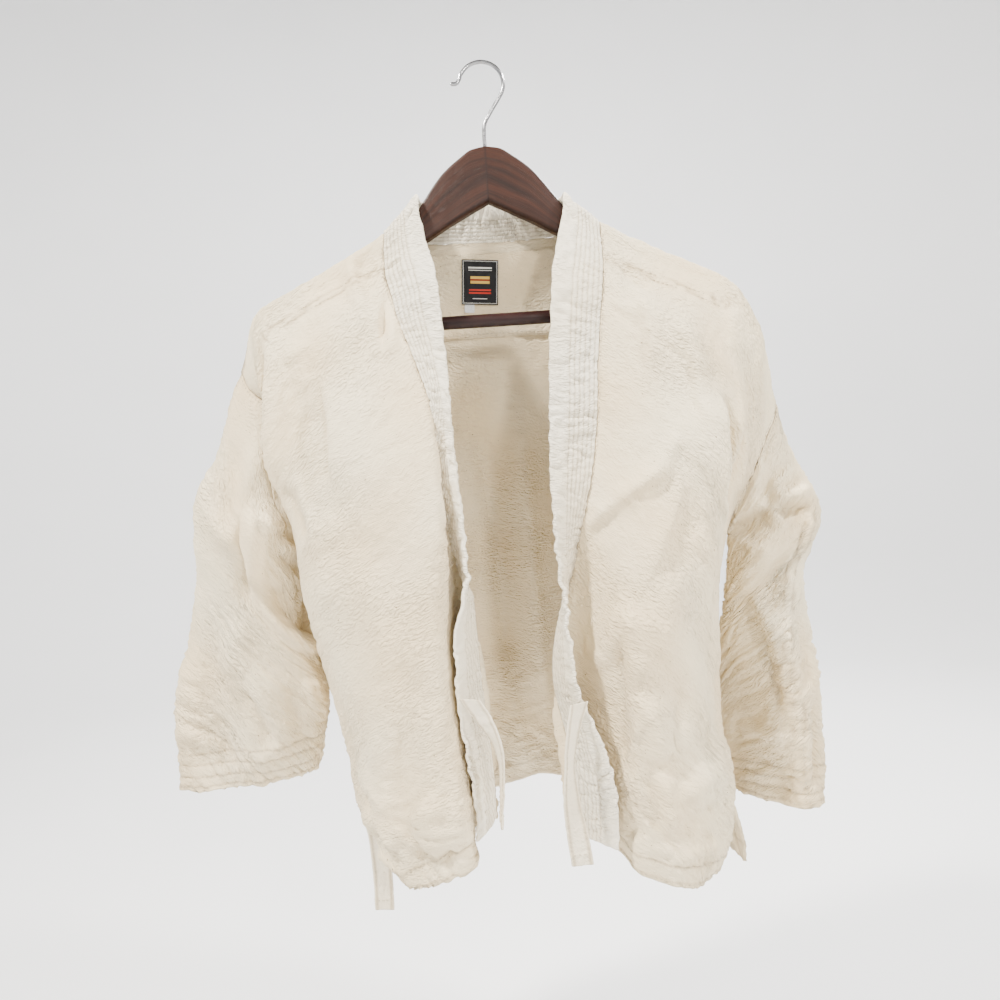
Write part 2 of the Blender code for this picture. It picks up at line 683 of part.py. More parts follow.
def shared_normals(panels, armpits):
    """Mitred normals at every point, shared by all panels that meet there.

    Each is long enough to keep the wall's thickness through a fold, up to a limit. At an armpit,
    where body and sleeve part, the outside of the cloth lies below.
    """
    total = {}
    met = {}
    for panel in panels:
        g = panel.grid
        one = np.cross(g[:-1, 1:] - g[:-1, :-1], g[1:, :-1] - g[:-1, :-1])
        two = np.cross(g[1:, :-1] - g[1:, 1:], g[:-1, 1:] - g[1:, 1:])
        face = (one + two) * (-1 if panel.turned else 1)
        face = face / np.maximum(np.linalg.norm(face, axis=2, keepdims=True), 1e-9)
        rows, columns = face.shape[:2]
        for i in range(rows):
            for j in range(columns):
                for a, b in ((i, j), (i, j + 1), (i + 1, j), (i + 1, j + 1)):
                    key = seam_key(g[a, b])
                    total[key] = total.get(key, 0) + face[i, j]
                    met.setdefault(key, []).append(face[i, j])
    normals = {}
    for key, value in total.items():
        unit = value / max(np.linalg.norm(value), 1e-9)
        lean = float(np.mean(np.array(met[key]) @ unit))
        normals[key] = unit / max(lean, MITRE_LIMIT)
    for point in armpits:
        normals[seam_key(point)] = np.array([0.0, 0.0, -1.0])
    return normals


def drawn_back(grid, ring, gap):
    """The grid with each border moved in by half the seam gap, so that neighbours stay apart."""
    moved = grid.copy()
    borders = [(0, 1, 0), (-1, -2, 0)]
    if not ring:
        borders += [(0, 1, 1), (-1, -2, 1)]
    for edge, inside, axis in borders:
        border = grid.take(edge, axis=axis)
        step = grid.take(inside, axis=axis) - border
        step /= np.maximum(np.linalg.norm(step, axis=1, keepdims=True), 1e-9)
        if axis == 0:
            moved[edge] += step * gap / 2
        else:
            moved[:, edge] += step * gap / 2
    return moved


def material(name, colour, roughness=0.9, metallic=0.0):
    """A plain Principled material."""
    made = bpy.data.materials.new(name)
    made.use_nodes = True
    shader = made.node_tree.nodes["Principled BSDF"]
    shader.inputs["Base Color"].default_value = (*colour, 1.0)
    shader.inputs["Roughness"].default_value = roughness
    shader.inputs["Metallic"].default_value = metallic
    made.diffuse_color = (*colour, 1.0)
    return made


def add_object(name, mesh, colour, roughness=0.9, metallic=0.0, smooth=True):
    """Links a mesh as a named object with its own material."""
    mesh.materials.append(material(name, colour, roughness, metallic))
    made = bpy.data.objects.new(name, mesh)
    bpy.context.scene.collection.objects.link(made)
    if smooth:
        mesh.shade_smooth()
        mesh.set_sharp_from_angle(angle=0.7)
    return made


def seam_order(point):
    """A number that ranks seam points alike in both panels of a seam."""
    return round(point[0] + 0.37 * point[1] + 0.61 * point[2], 1)


def shell_mesh(name, outer, inner, ring, turned):
    """A closed mesh between two grids of points that lie a wall's thickness apart."""
    rows, columns = outer.shape[:2]
    wrap = columns - 1 if ring else columns
    built = bmesh.new()
    layers = [
        [[built.verts.new(Vector(g[i, j]) * MM) for j in range(wrap)] for i in range(rows)]
        for g in (outer, inner)
    ]

    def vert(layer, i, j):
        return layers[layer][i][j % wrap]

    def face(corners):
        built.faces.new(corners if turned else corners[::-1])

    def wall(a, b):
        if seam_order(outer[a] + inner[a]) < seam_order(outer[b] + inner[b]):
            face([vert(0, *a), vert(0, *b), vert(1, *b)])
            face([vert(0, *a), vert(1, *b), vert(1, *a)])
        else:
            face([vert(0, *a), vert(0, *b), vert(1, *a)])
            face([vert(0, *b), vert(1, *b), vert(1, *a)])

    for i in range(rows - 1):
        for j in range(columns - 1):
            quad = [(i, j), (i, j + 1), (i + 1, j + 1), (i + 1, j)]
            corners = [(outer[q] + inner[q]) / 2 for q in quad]
            first = np.linalg.norm(corners[0] - corners[2])
            second = np.linalg.norm(corners[1] - corners[3])
            for trio in ((0, 1, 2), (0, 2, 3)) if first <= second else ((0, 1, 3), (1, 2, 3)):
                face([vert(0, *quad[k]) for k in trio])
                face([vert(1, *quad[k]) for k in reversed(trio)])
    for j in range(columns - 1):
        wall((0, j + 1), (0, j))
        wall((rows - 1, j), (rows - 1, j + 1))
    if not ring:
        for i in range(rows - 1):
            wall((i, 0), (i + 1, 0))
            wall((i + 1, columns - 1), (i, columns - 1))
    mesh = bpy.data.meshes.new(name)
    bmesh.ops.recalc_face_normals(built, faces=built.faces)
    built.to_mesh(mesh)
    built.free()
    return mesh


def build_cloth(panels, armpits):
    """Thickens the panels about their shared normals and adds each as an object."""
    normals = shared_normals(panels, armpits)
    for panel in panels:
        normal = np.array([[normals[seam_key(p)] for p in row] for row in panel.grid])
        panel.normals = normal
        middle = drawn_back(panel.grid, panel.ring, SEAM_GAP)
        half = np.full(panel.grid.shape[1], panel.thick / 2)
        if panel.thick > CLOTH:
            half[0] = CLOTH / 2
        outer = middle + normal * half[:, None]
        inner = middle - normal * half[:, None]
        mesh = shell_mesh(panel.name, outer, inner, panel.ring, panel.turned)
        add_object(panel.name, mesh, panel.colour)


def build_yoke(back):
    """The shoulder lining, made from the back's own points and moved towards the wearer."""
    columns = slice(YOKE_COLUMN, back.grid.shape[1] - YOKE_COLUMN)
    rows = slice(YOKE_TOP_ROW, YOKE_LAST_ROW + 1)
    grid = drawn_back(back.grid[rows, columns], False, YOKE_MARGIN)
    normal = back.normals[rows, columns]
    below = CLOTH / 2 + LAYER_GAP
    outer = grid - normal * below
    inner = grid - normal * (below + YOKE_THICK)
    add_object("yoke", shell_mesh("yoke", outer, inner, False, False), COTTON)


def surface_y(grid, x, z):
    """The back's depth at a place, from the nearest four points of its grid."""
    flat = grid.reshape(-1, 3)
    distance = np.hypot(flat[:, 0] - x, flat[:, 2] - z)
    near = np.argsort(distance)[:4]
    weight = 1.0 / (distance[near] + 1e-6)
    return float((flat[near, 1] * weight).sum() / weight.sum())


def build_label(back):
    """The woven label, flat on the yoke's inside."""
    below = CLOTH / 2 + LAYER_GAP + YOKE_THICK + LAYER_GAP
    turn = np.radians(LABEL_TILT)
    across = np.linspace(-0.5, 0.5, 5) * LABEL_WIDTH
    down = np.linspace(0.5, -0.5, 5) * LABEL_HEIGHT
    places = [
        [
            (
                LABEL_MIDDLE[0] + a * np.cos(turn) - d * np.sin(turn),
                LABEL_MIDDLE[1] + a * np.sin(turn) + d * np.cos(turn),
            )
            for a in across
        ]
        for d in down
    ]
    depth = np.array([[surface_y(back.grid, x, z) for x, z in row] for row in places])
    plane = np.array([[1.0, x, z] for row in places for x, z in row])
    fit, *_ = np.linalg.lstsq(plane, depth.ravel(), rcond=None)
    face = (plane @ fit).reshape(depth.shape)
    face -= below + LABEL_SEAT
    outer = np.array([
        [(x, face[i, j], z) for j, (x, z) in enumerate(row)] for i, row in enumerate(places)
    ])
    inner = outer - np.array([0.0, LABEL_THICK, 0.0])
    add_object("label", shell_mesh("label", outer, inner, False, True), BLACK_SATIN, 0.55)


def build_tie(name, table):
    """A flat cotton tape that hangs free from its sewn top end."""
    sections = []
    for p in table:
        turn = np.radians(p.turn)
        width = np.array([np.cos(turn), np.sin(turn), 0.0]) * TIE_WIDTH
        sections.append([np.array([p.x, p.y, p.z]) + width * a for a in (-0.5, 0.0, 0.5)])
    middle = np.stack([round_curve([section[k] for section in sections], 5) for k in range(3)], axis=1)
    normal = grid_normals(middle, False)
    outer = middle + normal * TIE_THICK / 2
    inner = middle - normal * TIE_THICK / 2
    add_object(name, shell_mesh(name, outer, inner, False, False), TAPE)


def wood_section(x, top, bottom):
    """The arm's rounded section across its thickness, at one distance from the middle."""
    half = WOOD_THICK / 2
    edge = min(WOOD_EDGE, (top - bottom) * 0.45)
    ring = []
    corners = [(half - edge, top - edge, 0), (-half + edge, top - edge, 90)]
    corners += [(-half + edge, bottom + edge, 180), (half - edge, bottom + edge, 270)]
    for y, z, start in corners:
        for turn in (0, 45, 90):
            angle = np.radians(start + turn)
            ring.append((x, wood_bow(x) + y + edge * np.cos(angle), z + edge * np.sin(angle)))
    return ring


def build_wood():
    """The hanger's contoured body as one bar lofted from tip to tip."""
    rows = [(-w.x, w.top, w.bottom) for w in reversed(WOOD[1:])] + [tuple(w) for w in WOOD]
    built = bmesh.new()
    loops = [[built.verts.new(Vector(p) * MM) for p in wood_section(*row)] for row in rows]
    count = len(loops[0])
    for near, far in zip(loops, loops[1:]):
        for k in range(count):
            built.faces.new([near[k], near[(k + 1) % count], far[(k + 1) % count], far[k]])
    built.faces.new(loops[0][::-1])
    built.faces.new(loops[-1])
    bmesh.ops.recalc_face_normals(built, faces=built.faces)
    mesh = bpy.data.meshes.new("hanger_body")
    built.to_mesh(mesh)
    built.free()
    return add_object("hanger_body", mesh, WALNUT, 0.38)


def lathe(name, rows, sides, axis):
    """A turned solid from a list of (distance along the axis, radius)."""
    built = bmesh.new()
    angles = np.linspace(0, 2 * np.pi, sides, endpoint=False)
    loops = []
    for along, radius in rows:
        ring = []
        for angle in angles:
            a, b = radius * np.cos(angle), radius * np.sin(angle)
            place = (along, a, b) if axis == "X" else (a, b, along)
            ring.append(built.verts.new(Vector(place) * MM))
        loops.append(ring)
    for near, far in zip(loops, loops[1:]):
        for k in range(sides):
            built.faces.new([near[k], near[(k + 1) % sides], far[(k + 1) % sides], far[k]])
    built.faces.new(loops[0][::-1])
    built.faces.new(loops[-1])
    bmesh.ops.recalc_face_normals(built, faces=built.faces)
    mesh = bpy.data.meshes.new(name)
    built.to_mesh(mesh)
    built.free()
    return mesh


def build_bar():
    """The trouser bar, with a thinner tenon at each end that enters the wood."""
    bar, tenon = BAR_DIAMETER / 2, TENON_DIAMETER / 2
    end = BAR_SHOULDER_X + TENON_LENGTH
    rows = [(-end, tenon), (-BAR_SHOULDER_X, tenon), (-BAR_SHOULDER_X, bar)]
    rows += [(BAR_SHOULDER_X, bar), (BAR_SHOULDER_X, tenon), (end, tenon)]
    made = add_object("hanger_bar", lathe("hanger_bar", rows, 16, "X"), DARK_BAR, 0.4)
    made.location = Vector((0, wood_bow(BAR_SHOULDER_X + TENON_LENGTH / 2), BAR_HEIGHT)) * MM
    return made


def cutter(name, rows, axis, place):
    """A hidden turned shape that a Boolean takes out of the wood."""
    made = bpy.data.objects.new(name, lathe(name, rows, 16, axis))
    bpy.context.scene.collection.objects.link(made)
    made.location = Vector(place) * MM
    made.hide_render = True
    made.display_type = "WIRE"
    return made


def cut(target, tool):
    """Takes the tool's shape out of the target."""
    step = target.modifiers.new(tool.name, "BOOLEAN")
    step.operation = "DIFFERENCE"
    step.object = tool


def bore_wood(wood):
    """The bores for the bar's tenons and for the hook's stem, and the flats that the bar meets."""
    y = wood_bow(BAR_SHOULDER_X + TENON_LENGTH / 2)
    radius = TENON_DIAMETER / 2 + BORE_CLEARANCE
    end = BAR_SHOULDER_X + TENON_LENGTH + BORE_CLEARANCE
    flat = BAR_DIAMETER / 2 + BORE_CLEARANCE
    shoulder = BAR_SHOULDER_X + BORE_CLEARANCE
    rows = [(-end, radius), (-shoulder, radius), (-shoulder, flat)]
    rows += [(shoulder, flat), (shoulder, radius), (end, radius)]
    cut(wood, cutter("bar_bore", rows, "X", (0, y, BAR_HEIGHT)))
    stem = WIRE_DIAMETER / 2 + BORE_CLEARANCE
    cut(wood, cutter("stem_bore", [(-STEM_DEPTH, stem), (12, stem)], "Z", (0, 0, WOOD[0].top)))


def build_hook():
    """The chrome hook: a stem, a neck, most of a circle and a flared tip."""
    reach = HOOK_RADIUS
    middle = WIRE_DIAMETER / 2 - reach
    stem_end = WOOD[0].top - STEM_DEPTH + BORE_CLEARANCE
    route = [(0, stem_end), (0, WOOD[0].top), (0, -66), (1.5, -56), (8, -45)]
    for angle in HOOK_ANGLES:
        route.append((reach * np.cos(np.radians(angle)), middle + reach * np.sin(np.radians(angle))))
    route += HOOK_TIP
    rounded = round_curve(route, 4)
    curve = bpy.data.curves.new("hanger_hook", "CURVE")
    curve.dimensions = "3D"
    spline = curve.splines.new("POLY")
    spline.points.add(len(rounded) - 1)
    for point, (x, z) in zip(spline.points, rounded):
        point.co = (x * MM, 0, z * MM, 1)
    curve.bevel_depth = WIRE_DIAMETER / 2 * MM
    curve.bevel_resolution = 2
    curve.use_fill_caps = True
    curve.materials.append(material("hanger_hook", CHROME, 0.15, 1.0))
    made = bpy.data.objects.new("hanger_hook", curve)
    bpy.context.scene.collection.objects.link(made)
    return made


def main():
    """Builds every piece of the jacket and of its hanger."""
    for old in list(bpy.data.objects):
        bpy.data.objects.remove(old)
    left = FrontShape(LEFT_FRONT, LEFT_SHOULDER, LEFT_SIDE, LEFT_FRONT_HEM)
    right = FrontShape(RIGHT_FRONT, RIGHT_SHOULDER, RIGHT_SIDE, RIGHT_FRONT_HEM)
    front_left = Panel("front_left", front_grid(left), CLOTH, True, COTTON)
    front_right = Panel("front_right", front_grid(right), CLOTH, False, COTTON)
    back = Panel("back", back_grid(left, right), CLOTH, False, COTTON)
    band = Panel("collar", band_grid(left, right, back.grid), BAND_THICK, False, BAND_COTTON)
    left_tube = sleeve_grid(LEFT_SLEEVE, front_left.grid[:, 0], back.grid[:, 0])
    right_tube = sleeve_grid(RIGHT_SLEEVE, front_right.grid[:, 0], back.grid[:, -1])
    sleeve_left = Panel("sleeve_left", left_tube, CLOTH, False, COTTON, True)
    sleeve_right = Panel("sleeve_right", right_tube, CLOTH, True, COTTON, True)
    front_left.raise_folds(LEFT_FRONT_FOLDS)
    front_right.raise_folds(RIGHT_FRONT_FOLDS)
    back.raise_folds(BACK_FOLDS)
    sleeve_left.raise_folds(LEFT_SLEEVE_FOLDS)
    sleeve_right.raise_folds(RIGHT_SLEEVE_FOLDS)
    armpits = [front.grid[ROW_ARMPIT, 0] for front in (front_left, front_right)]
    build_cloth([front_left, front_right, back, band, sleeve_left, sleeve_right], armpits)
    build_yoke(back)
    build_label(back)
    build_tie("tie_side_left", SIDE_TIE)
    build_tie("tie_lapel_right", RIGHT_LAPEL_TIE)
    build_tie("tie_lapel_left", LEFT_LAPEL_TIE)
    bore_wood(build_wood())
    build_bar()
    build_hook()


main()
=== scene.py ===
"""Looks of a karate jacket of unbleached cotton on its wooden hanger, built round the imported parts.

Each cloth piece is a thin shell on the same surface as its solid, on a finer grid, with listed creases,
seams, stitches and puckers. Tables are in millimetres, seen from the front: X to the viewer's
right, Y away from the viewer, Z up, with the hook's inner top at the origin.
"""

from __future__ import annotations

import logging
import math
import sys
from dataclasses import dataclass, field
from enum import Enum
from typing import Callable, NamedTuple, Sequence

import bpy
import numpy as np
from mathutils import Matrix, Vector
from mathutils.kdtree import KDTree

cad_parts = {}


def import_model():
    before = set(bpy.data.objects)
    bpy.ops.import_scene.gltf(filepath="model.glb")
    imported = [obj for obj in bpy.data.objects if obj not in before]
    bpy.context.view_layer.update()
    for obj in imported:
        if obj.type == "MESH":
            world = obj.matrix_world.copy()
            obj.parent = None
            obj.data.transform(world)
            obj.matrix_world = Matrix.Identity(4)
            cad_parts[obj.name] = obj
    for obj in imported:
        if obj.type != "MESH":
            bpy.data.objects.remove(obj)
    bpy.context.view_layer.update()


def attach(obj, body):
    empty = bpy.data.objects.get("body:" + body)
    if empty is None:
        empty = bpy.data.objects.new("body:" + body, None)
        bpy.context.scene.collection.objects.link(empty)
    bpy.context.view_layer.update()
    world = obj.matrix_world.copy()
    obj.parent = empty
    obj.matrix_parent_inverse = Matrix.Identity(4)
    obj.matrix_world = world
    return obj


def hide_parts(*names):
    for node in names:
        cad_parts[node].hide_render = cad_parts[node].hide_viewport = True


Array = np.ndarray
LOG = logging.getLogger("jacket")
BODY = "root"
MM = 0.001

# Cloth and hanger sizes, as in the solids
BAND_WIDTH = 45.0
TIE_THICK = 1.3
TIE_WIDTH = 18.0
LABEL_WIDTH = 36.0
LABEL_HEIGHT = 43.0
LABEL_MIDDLE = (-13.0, -195.0)
LABEL_TILT = -4.0
YOKE_COLUMN = 12
YOKE_TOP_ROW = 2
YOKE_LAST_ROW = 6
WOOD_THICK = 13.0
WOOD_BOW = 20.0
WOOD_HALF_SPAN = 213.0
BAR_DIAMETER = 12.0
BAR_HEIGHT = -245.0
BAR_SHOULDER_X = 183.0
WIRE_DIAMETER = 3.6
TENON_DIAMETER = 7.0
TENON_LENGTH = 13.0
STEM_DEPTH = 22.0
HOOK_RADIUS = 21.0
HOOK_ANGLES = [-25, 0, 30, 60, 90, 120, 148, 165]
HOOK_TIP = [(-23.4, -17.4), (-29, -17)]

# Grid of each panel, as in the solids
ROW_ARMPIT = 9
ROW_SLIT = 20
ROW_HEM = 24
COLUMNS = 16
NECK_COLUMNS = 12
NECK_SHARE = 0.64
SLEEVE_RINGS = 17
LEVEL_STEP = 6.0
CURVE_SAMPLES = 90


class Wood(NamedTuple):
    """A section of the hanger's arm: its top and its bottom at a distance from the middle."""

    x: float
    top: float
    bottom: float


class Shoulder(NamedTuple):
    """A point of the shoulder line, from the armhole seam in to the collar seam."""

    x: float
    z: float


class Front(NamedTuple):
    """A level section of a front in plan: side seam, cheek, crown, the turned-in fold, and the band's edge."""

    z: float
    side_x: float
    side_y: float
    cheek_x: float
    cheek_y: float
    crown_x: float
    crown_y: float
    valley_x: float
    valley_y: float
    root_x: float
    root_y: float
    edge_x: float
    edge_y: float


class Side(NamedTuple):
    """Heights down one side of the body, and the corner where the back's slit meets its hem."""

    armpit: float
    slit_top: float
    corner_x: float
    corner_y: float


class Hem(NamedTuple):
    """A hem height at a share of the way across a panel."""

    across: float
    z: float


class Back(NamedTuple):
    """How far the middle of the back stands behind the hanger at one height."""

    z: float
    middle_y: float


class Sleeve(NamedTuple):
    """A section of a sleeve: its outer fold, its inner fold and half its depth."""

    along: float
    outer_x: float
    outer_y: float
    outer_z: float
    inner_x: float
    inner_y: float
    inner_z: float
    depth: float


class Fold(NamedTuple):
    """A ridge, or with a negative height a trough, that runs between two points of a panel.

    across and down are shares of the panel. rise and fall are the widths of its two flanks as shares
    of the panel's width, before and after the line. Unequal flanks make a fold that laps over.
    """

    across_top: float
    down_top: float
    across_end: float
    down_end: float
    height: float
    rise: float
    fall: float


class RibbonPoint(NamedTuple):
    """A point of a tie's centre line, with the turn of its width about the vertical, in degrees."""

    x: float
    y: float
    z: float
    turn: float


WOOD = [
    Wood(0, -79, -131.5), Wood(13, -81.5, -138), Wood(26, -90, -145), Wood(40, -101.5, -152.5),
    Wood(50, -113, -158.5), Wood(60, -127, -164.5), Wood(76, -147.5, -173), Wood(100, -164.5, -187),
    Wood(140, -186, -212), Wood(166, -200, -230), Wood(180, -208, -244), Wood(190, -213.5, -252),
    Wood(202, -221, -255), Wood(210, -229, -251.5), Wood(213, -236, -245),
]

LEFT_SHOULDER = [
    Shoulder(-241, -275), Shoulder(-230, -251), Shoulder(-217.5, -230), Shoulder(-204, -219.4),
    Shoulder(-180, -206), Shoulder(-140, -183.8), Shoulder(-98, -157.5),
]
RIGHT_SHOULDER = [
    Shoulder(256, -334), Shoulder(250, -308), Shoulder(241, -284), Shoulder(230, -257),
    Shoulder(219, -234), Shoulder(204, -219.6), Shoulder(180, -206), Shoulder(140, -183.8),
    Shoulder(100, -159),
]

LEFT_FRONT = [
    Front(-165, -238, -6, -205, -18, -140, -22, -108, -17, -92, -16, -62, -20),
    Front(-235, -238, -10, -203, -32, -115, -41, -96, -34, -80, -30, -49, -46),
    Front(-290, -218, -14, -206, -38, -78, -56, -62, -50, -53, -40, -45, -58),
    Front(-330, -206, -15, -200, -42, -68, -69, -60, -56, -50, -45, -44, -66),
    Front(-380, -207, -18, -196, -48, -64, -80, -58, -58, -46, -49, -42, -73),
    Front(-433, -190, -8, -180, -53, -62, -88, -57, -54, -43, -46, -38, -77),
    Front(-480, -187, -2, -175, -56, -67, -91, -54, -47, -39, -41, -38, -81),
    Front(-507, -184, 0, -171, -57, -70, -92, -52, -42, -36, -37, -49, -86),
    Front(-565, -173, 2, -160, -56, -68, -95, -49, -37, -30, -33, -52, -89),
    Front(-640, -161, 2, -149, -54, -60, -97, -45, -39, -26, -35, -44, -91),
    Front(-678, -156, -2, -144, -56, -60, -96, -46, -43, -28, -40, -42, -90),
    Front(-702, -130, -40, -122, -70, -64, -97, -48, -51, -31, -47, -42, -90),
    Front(-730, -94, -74, -98, -86, -72, -97, -54, -60, -38, -55, -44, -90),
]
RIGHT_FRONT = [
    Front(-165, 254, -6, 206, -18, 150, -24, 112, -21, 98, -19, 60, -20),
    Front(-235, 256, -8, 204, -32, 150, -45, 108, -41, 92, -38, 50, -43),
    Front(-300, 256, -8, 198, -39, 140, -56, 98, -50, 82, -46, 42, -54),
    Front(-334, 256, -2, 194, -43, 134, -61, 92, -53, 76, -48, 40, -59),
    Front(-371, 241, -10, 188, -48, 126, -68, 84, -56, 67, -50, 37, -65),
    Front(-400, 227, -12, 184, -53, 120, -74, 74, -58, 56, -50, 36, -69),
    Front(-438, 207, -6, 179, -57, 116, -82, 66, -56, 48, -46, 36, -73),
    Front(-500, 188, 0, 171, -59, 98, -91, 58, -48, 38, -42, 41, -80),
    Front(-565, 184, 0, 168, -58, 90, -94, 52, -44, 30, -40, 45, -87),
    Front(-610, 184, 0, 168, -56, 96, -96, 50, -42, 27, -38, 62, -92),
    Front(-662, 185, -2, 170, -55, 102, -97, 52, -42, 28, -37, 72, -93),
    Front(-710, 179, -18, 164, -56, 112, -94, 58, -46, 34, -42, 70, -90),
    Front(-752, 165, -34, 152, -60, 118, -90, 62, -50, 40, -47, 70, -88),
]
LEFT_SIDE = Side(-433, -678, -148, 14)
RIGHT_SIDE = Side(-438, -662, 206, 16)
LEFT_FRONT_HEM = [Hem(0, -722), Hem(0.25, -723), Hem(0.5, -713), Hem(0.75, -699), Hem(1, -688)]
RIGHT_FRONT_HEM = [Hem(0, -740), Hem(0.3, -740), Hem(0.5, -733), Hem(0.75, -711), Hem(1, -702)]
LEFT_BACK_HEM = [Hem(0, -749), Hem(0.35, -740), Hem(0.7, -722), Hem(1, -708)]
RIGHT_BACK_HEM = [Hem(0, -771), Hem(0.35, -754), Hem(0.7, -727), Hem(1, -708)]

BACK = [
    Back(-150, 34), Back(-250, 45), Back(-350, 62), Back(-450, 82), Back(-550, 98), Back(-650, 107),
    Back(-780, 108),
]
BACK_SPREAD = 82.0
ARMHOLE_GAPE = 32.0

NECK_SEAM_DEPTH = 34.0
NECK_SEAM_HEIGHT = -157.0
NECK_EDGE_LEFT = (-64.0, -124.5)
NECK_EDGE_RIGHT = (68.0, -131.0)
NECK_EDGE_DEPTH = 28.0
NECK_EDGE_HEIGHT = -121.5
NECK_EDGE_SIDE_Y = -2.0
BAND_FALL = 130.0
BAND_SADDLE = 1.25

# How the cloth bends over the wood's rounded top edge, row by row
SADDLE_OUT = [0.0, 6.2, 9.8, 10.6]
SADDLE_DROP = [0.0, 0.25, 5.6, 17.0]
NECK_DROP = [0.0, 4.0, 9.0, 17.0]
SADDLE_EASE = 60.0
SADDLE_ZONE = 0.1
SIDE_ZONE = 0.3

LEFT_SLEEVE = [
    Sleeve(0.00, -241, 0, -275, -190, -8, -433, 18),
    Sleeve(0.16, -264, 1, -337, -197, 4, -468, 26),
    Sleeve(0.30, -283, 4, -392, -195, 8, -501, 33),
    Sleeve(0.46, -300, 8, -457, -191, 10, -538, 34),
    Sleeve(0.62, -312, 12, -521, -185, 12, -575, 32),
    Sleeve(0.78, -322, 15, -585, -188, 14, -605, 30),
    Sleeve(0.90, -327, 16, -632, -194, 15, -633, 28),
    Sleeve(1.00, -330, 16, -664, -199, 16, -654, 27),
]
RIGHT_SLEEVE = [
    Sleeve(0.00, 256, 0, -334, 207, -6, -438, 16),
    Sleeve(0.10, 267, 0, -378, 207, 6, -462, 24),
    Sleeve(0.20, 280, -2, -412, 206, 14, -490, 31),
    Sleeve(0.28, 289, -4, -438, 205, 22, -514, 33),
    Sleeve(0.35, 283, -8, -460, 204, 28, -534, 31),
    Sleeve(0.43, 265, -12, -488, 202, 36, -558, 27),
    Sleeve(0.57, 259, -18, -533, 202, 46, -592, 26),
    Sleeve(0.73, 262, -26, -590, 204, 60, -634, 25),
    Sleeve(0.90, 261, -32, -655, 214, 74, -684, 24),
    Sleeve(1.00, 253, -35, -700, 224, 82, -716, 24),
]

LEFT_FRONT_FOLDS = [
    Fold(0.62, 0.10, 0.50, 0.55, 7, 0.10, 0.16),
    Fold(0.80, 0.06, 0.84, 0.22, 7, 0.05, 0.03),
    Fold(0.30, 0.12, 0.38, 0.45, -6, 0.09, 0.09),
    Fold(0.22, 0.62, 0.16, 0.98, -8, 0.08, 0.06),
    Fold(0.40, 0.70, 0.36, 1.02, 7, 0.08, 0.10),
    Fold(0.55, 0.86, 0.62, 1.02, 12, 0.06, 0.10),
]
RIGHT_FRONT_FOLDS = [
    Fold(0.30, 0.15, 0.33, 0.42, 16, 0.035, 0.20),
    Fold(0.62, 0.10, 0.46, 0.48, 6, 0.08, 0.12),
    Fold(0.30, 0.44, 0.58, 0.66, 8, 0.10, 0.12),
    Fold(0.52, 0.48, 0.30, 0.70, -7, 0.08, 0.10),
    Fold(0.42, 0.66, 0.50, 0.98, -10, 0.07, 0.07),
    Fold(0.24, 0.74, 0.20, 1.02, 6, 0.09, 0.09),
]
BACK_FOLDS = [
    Fold(0.18, 0.10, 0.22, 0.60, -9, 0.05, 0.05),
    Fold(0.30, 0.30, 0.27, 1.05, 10, 0.05, 0.06),
    Fold(0.42, 0.25, 0.40, 1.05, -8, 0.05, 0.04),
    Fold(0.56, 0.20, 0.58, 1.05, 7, 0.05, 0.05),
    Fold(0.68, 0.35, 0.72, 1.05, -10, 0.05, 0.05),
    Fold(0.82, 0.12, 0.78, 0.62, 9, 0.05, 0.05),
    Fold(0.84, 0.60, 0.87, 1.05, -8, 0.05, 0.05),
]
LEFT_SLEEVE_FOLDS = [
    Fold(0.16, 0.10, 0.34, 0.34, 12, 0.10, 0.05),
    Fold(0.34, 0.02, 0.30, 0.40, 7, 0.06, 0.03),
    Fold(0.40, 0.35, 0.26, 1.02, -7, 0.06, 0.06),
    Fold(0.22, 0.55, 0.18, 1.02, 6, 0.07, 0.07),
    Fold(0.70, 0.15, 0.62, 0.90, 8, 0.07, 0.07),
    Fold(0.84, 0.25, 0.80, 1.02, -6, 0.06, 0.06),
]
RIGHT_SLEEVE_FOLDS = [
    Fold(0.20, 0.18, 0.20, 0.34, 8, 0.08, 0.08),
    Fold(0.12, 0.42, 0.30, 0.95, -6, 0.07, 0.07),
    Fold(0.36, 0.40, 0.34, 1.02, 5, 0.06, 0.06),
    Fold(0.66, 0.15, 0.64, 0.90, 7, 0.07, 0.07),
    Fold(0.84, 0.30, 0.80, 1.02, -6, 0.06, 0.06),
]

SIDE_TIE = [
    RibbonPoint(-142.8, -12.6, -689.5, 25), RibbonPoint(-139.8, -12.6, -707.5, 15), RibbonPoint(-137.8, -13.6, -727.5, 8),
    RibbonPoint(-136.8, -14.6, -751.5, 2), RibbonPoint(-136.8, -15.6, -778.5, -6),
]
RIGHT_LAPEL_TIE = [
    RibbonPoint(46.3, -94.8, -578.6, 30), RibbonPoint(40.3, -97.8, -597.6, 44), RibbonPoint(35.3, -98.8, -626.6, 60),
    RibbonPoint(34.3, -99.8, -650.6, 46), RibbonPoint(37.3, -100.8, -680.6, 14), RibbonPoint(40.3, -101.8, -706.6, 4),
]
LEFT_LAPEL_TIE = [
    RibbonPoint(-42, -93.7, -570.2, -20), RibbonPoint(-31, -96.7, -588.2, -30), RibbonPoint(-22, -98.7, -608.2, -60),
    RibbonPoint(-20, -98.7, -632.2, -80), RibbonPoint(-23, -97.7, -672.2, -84),
]

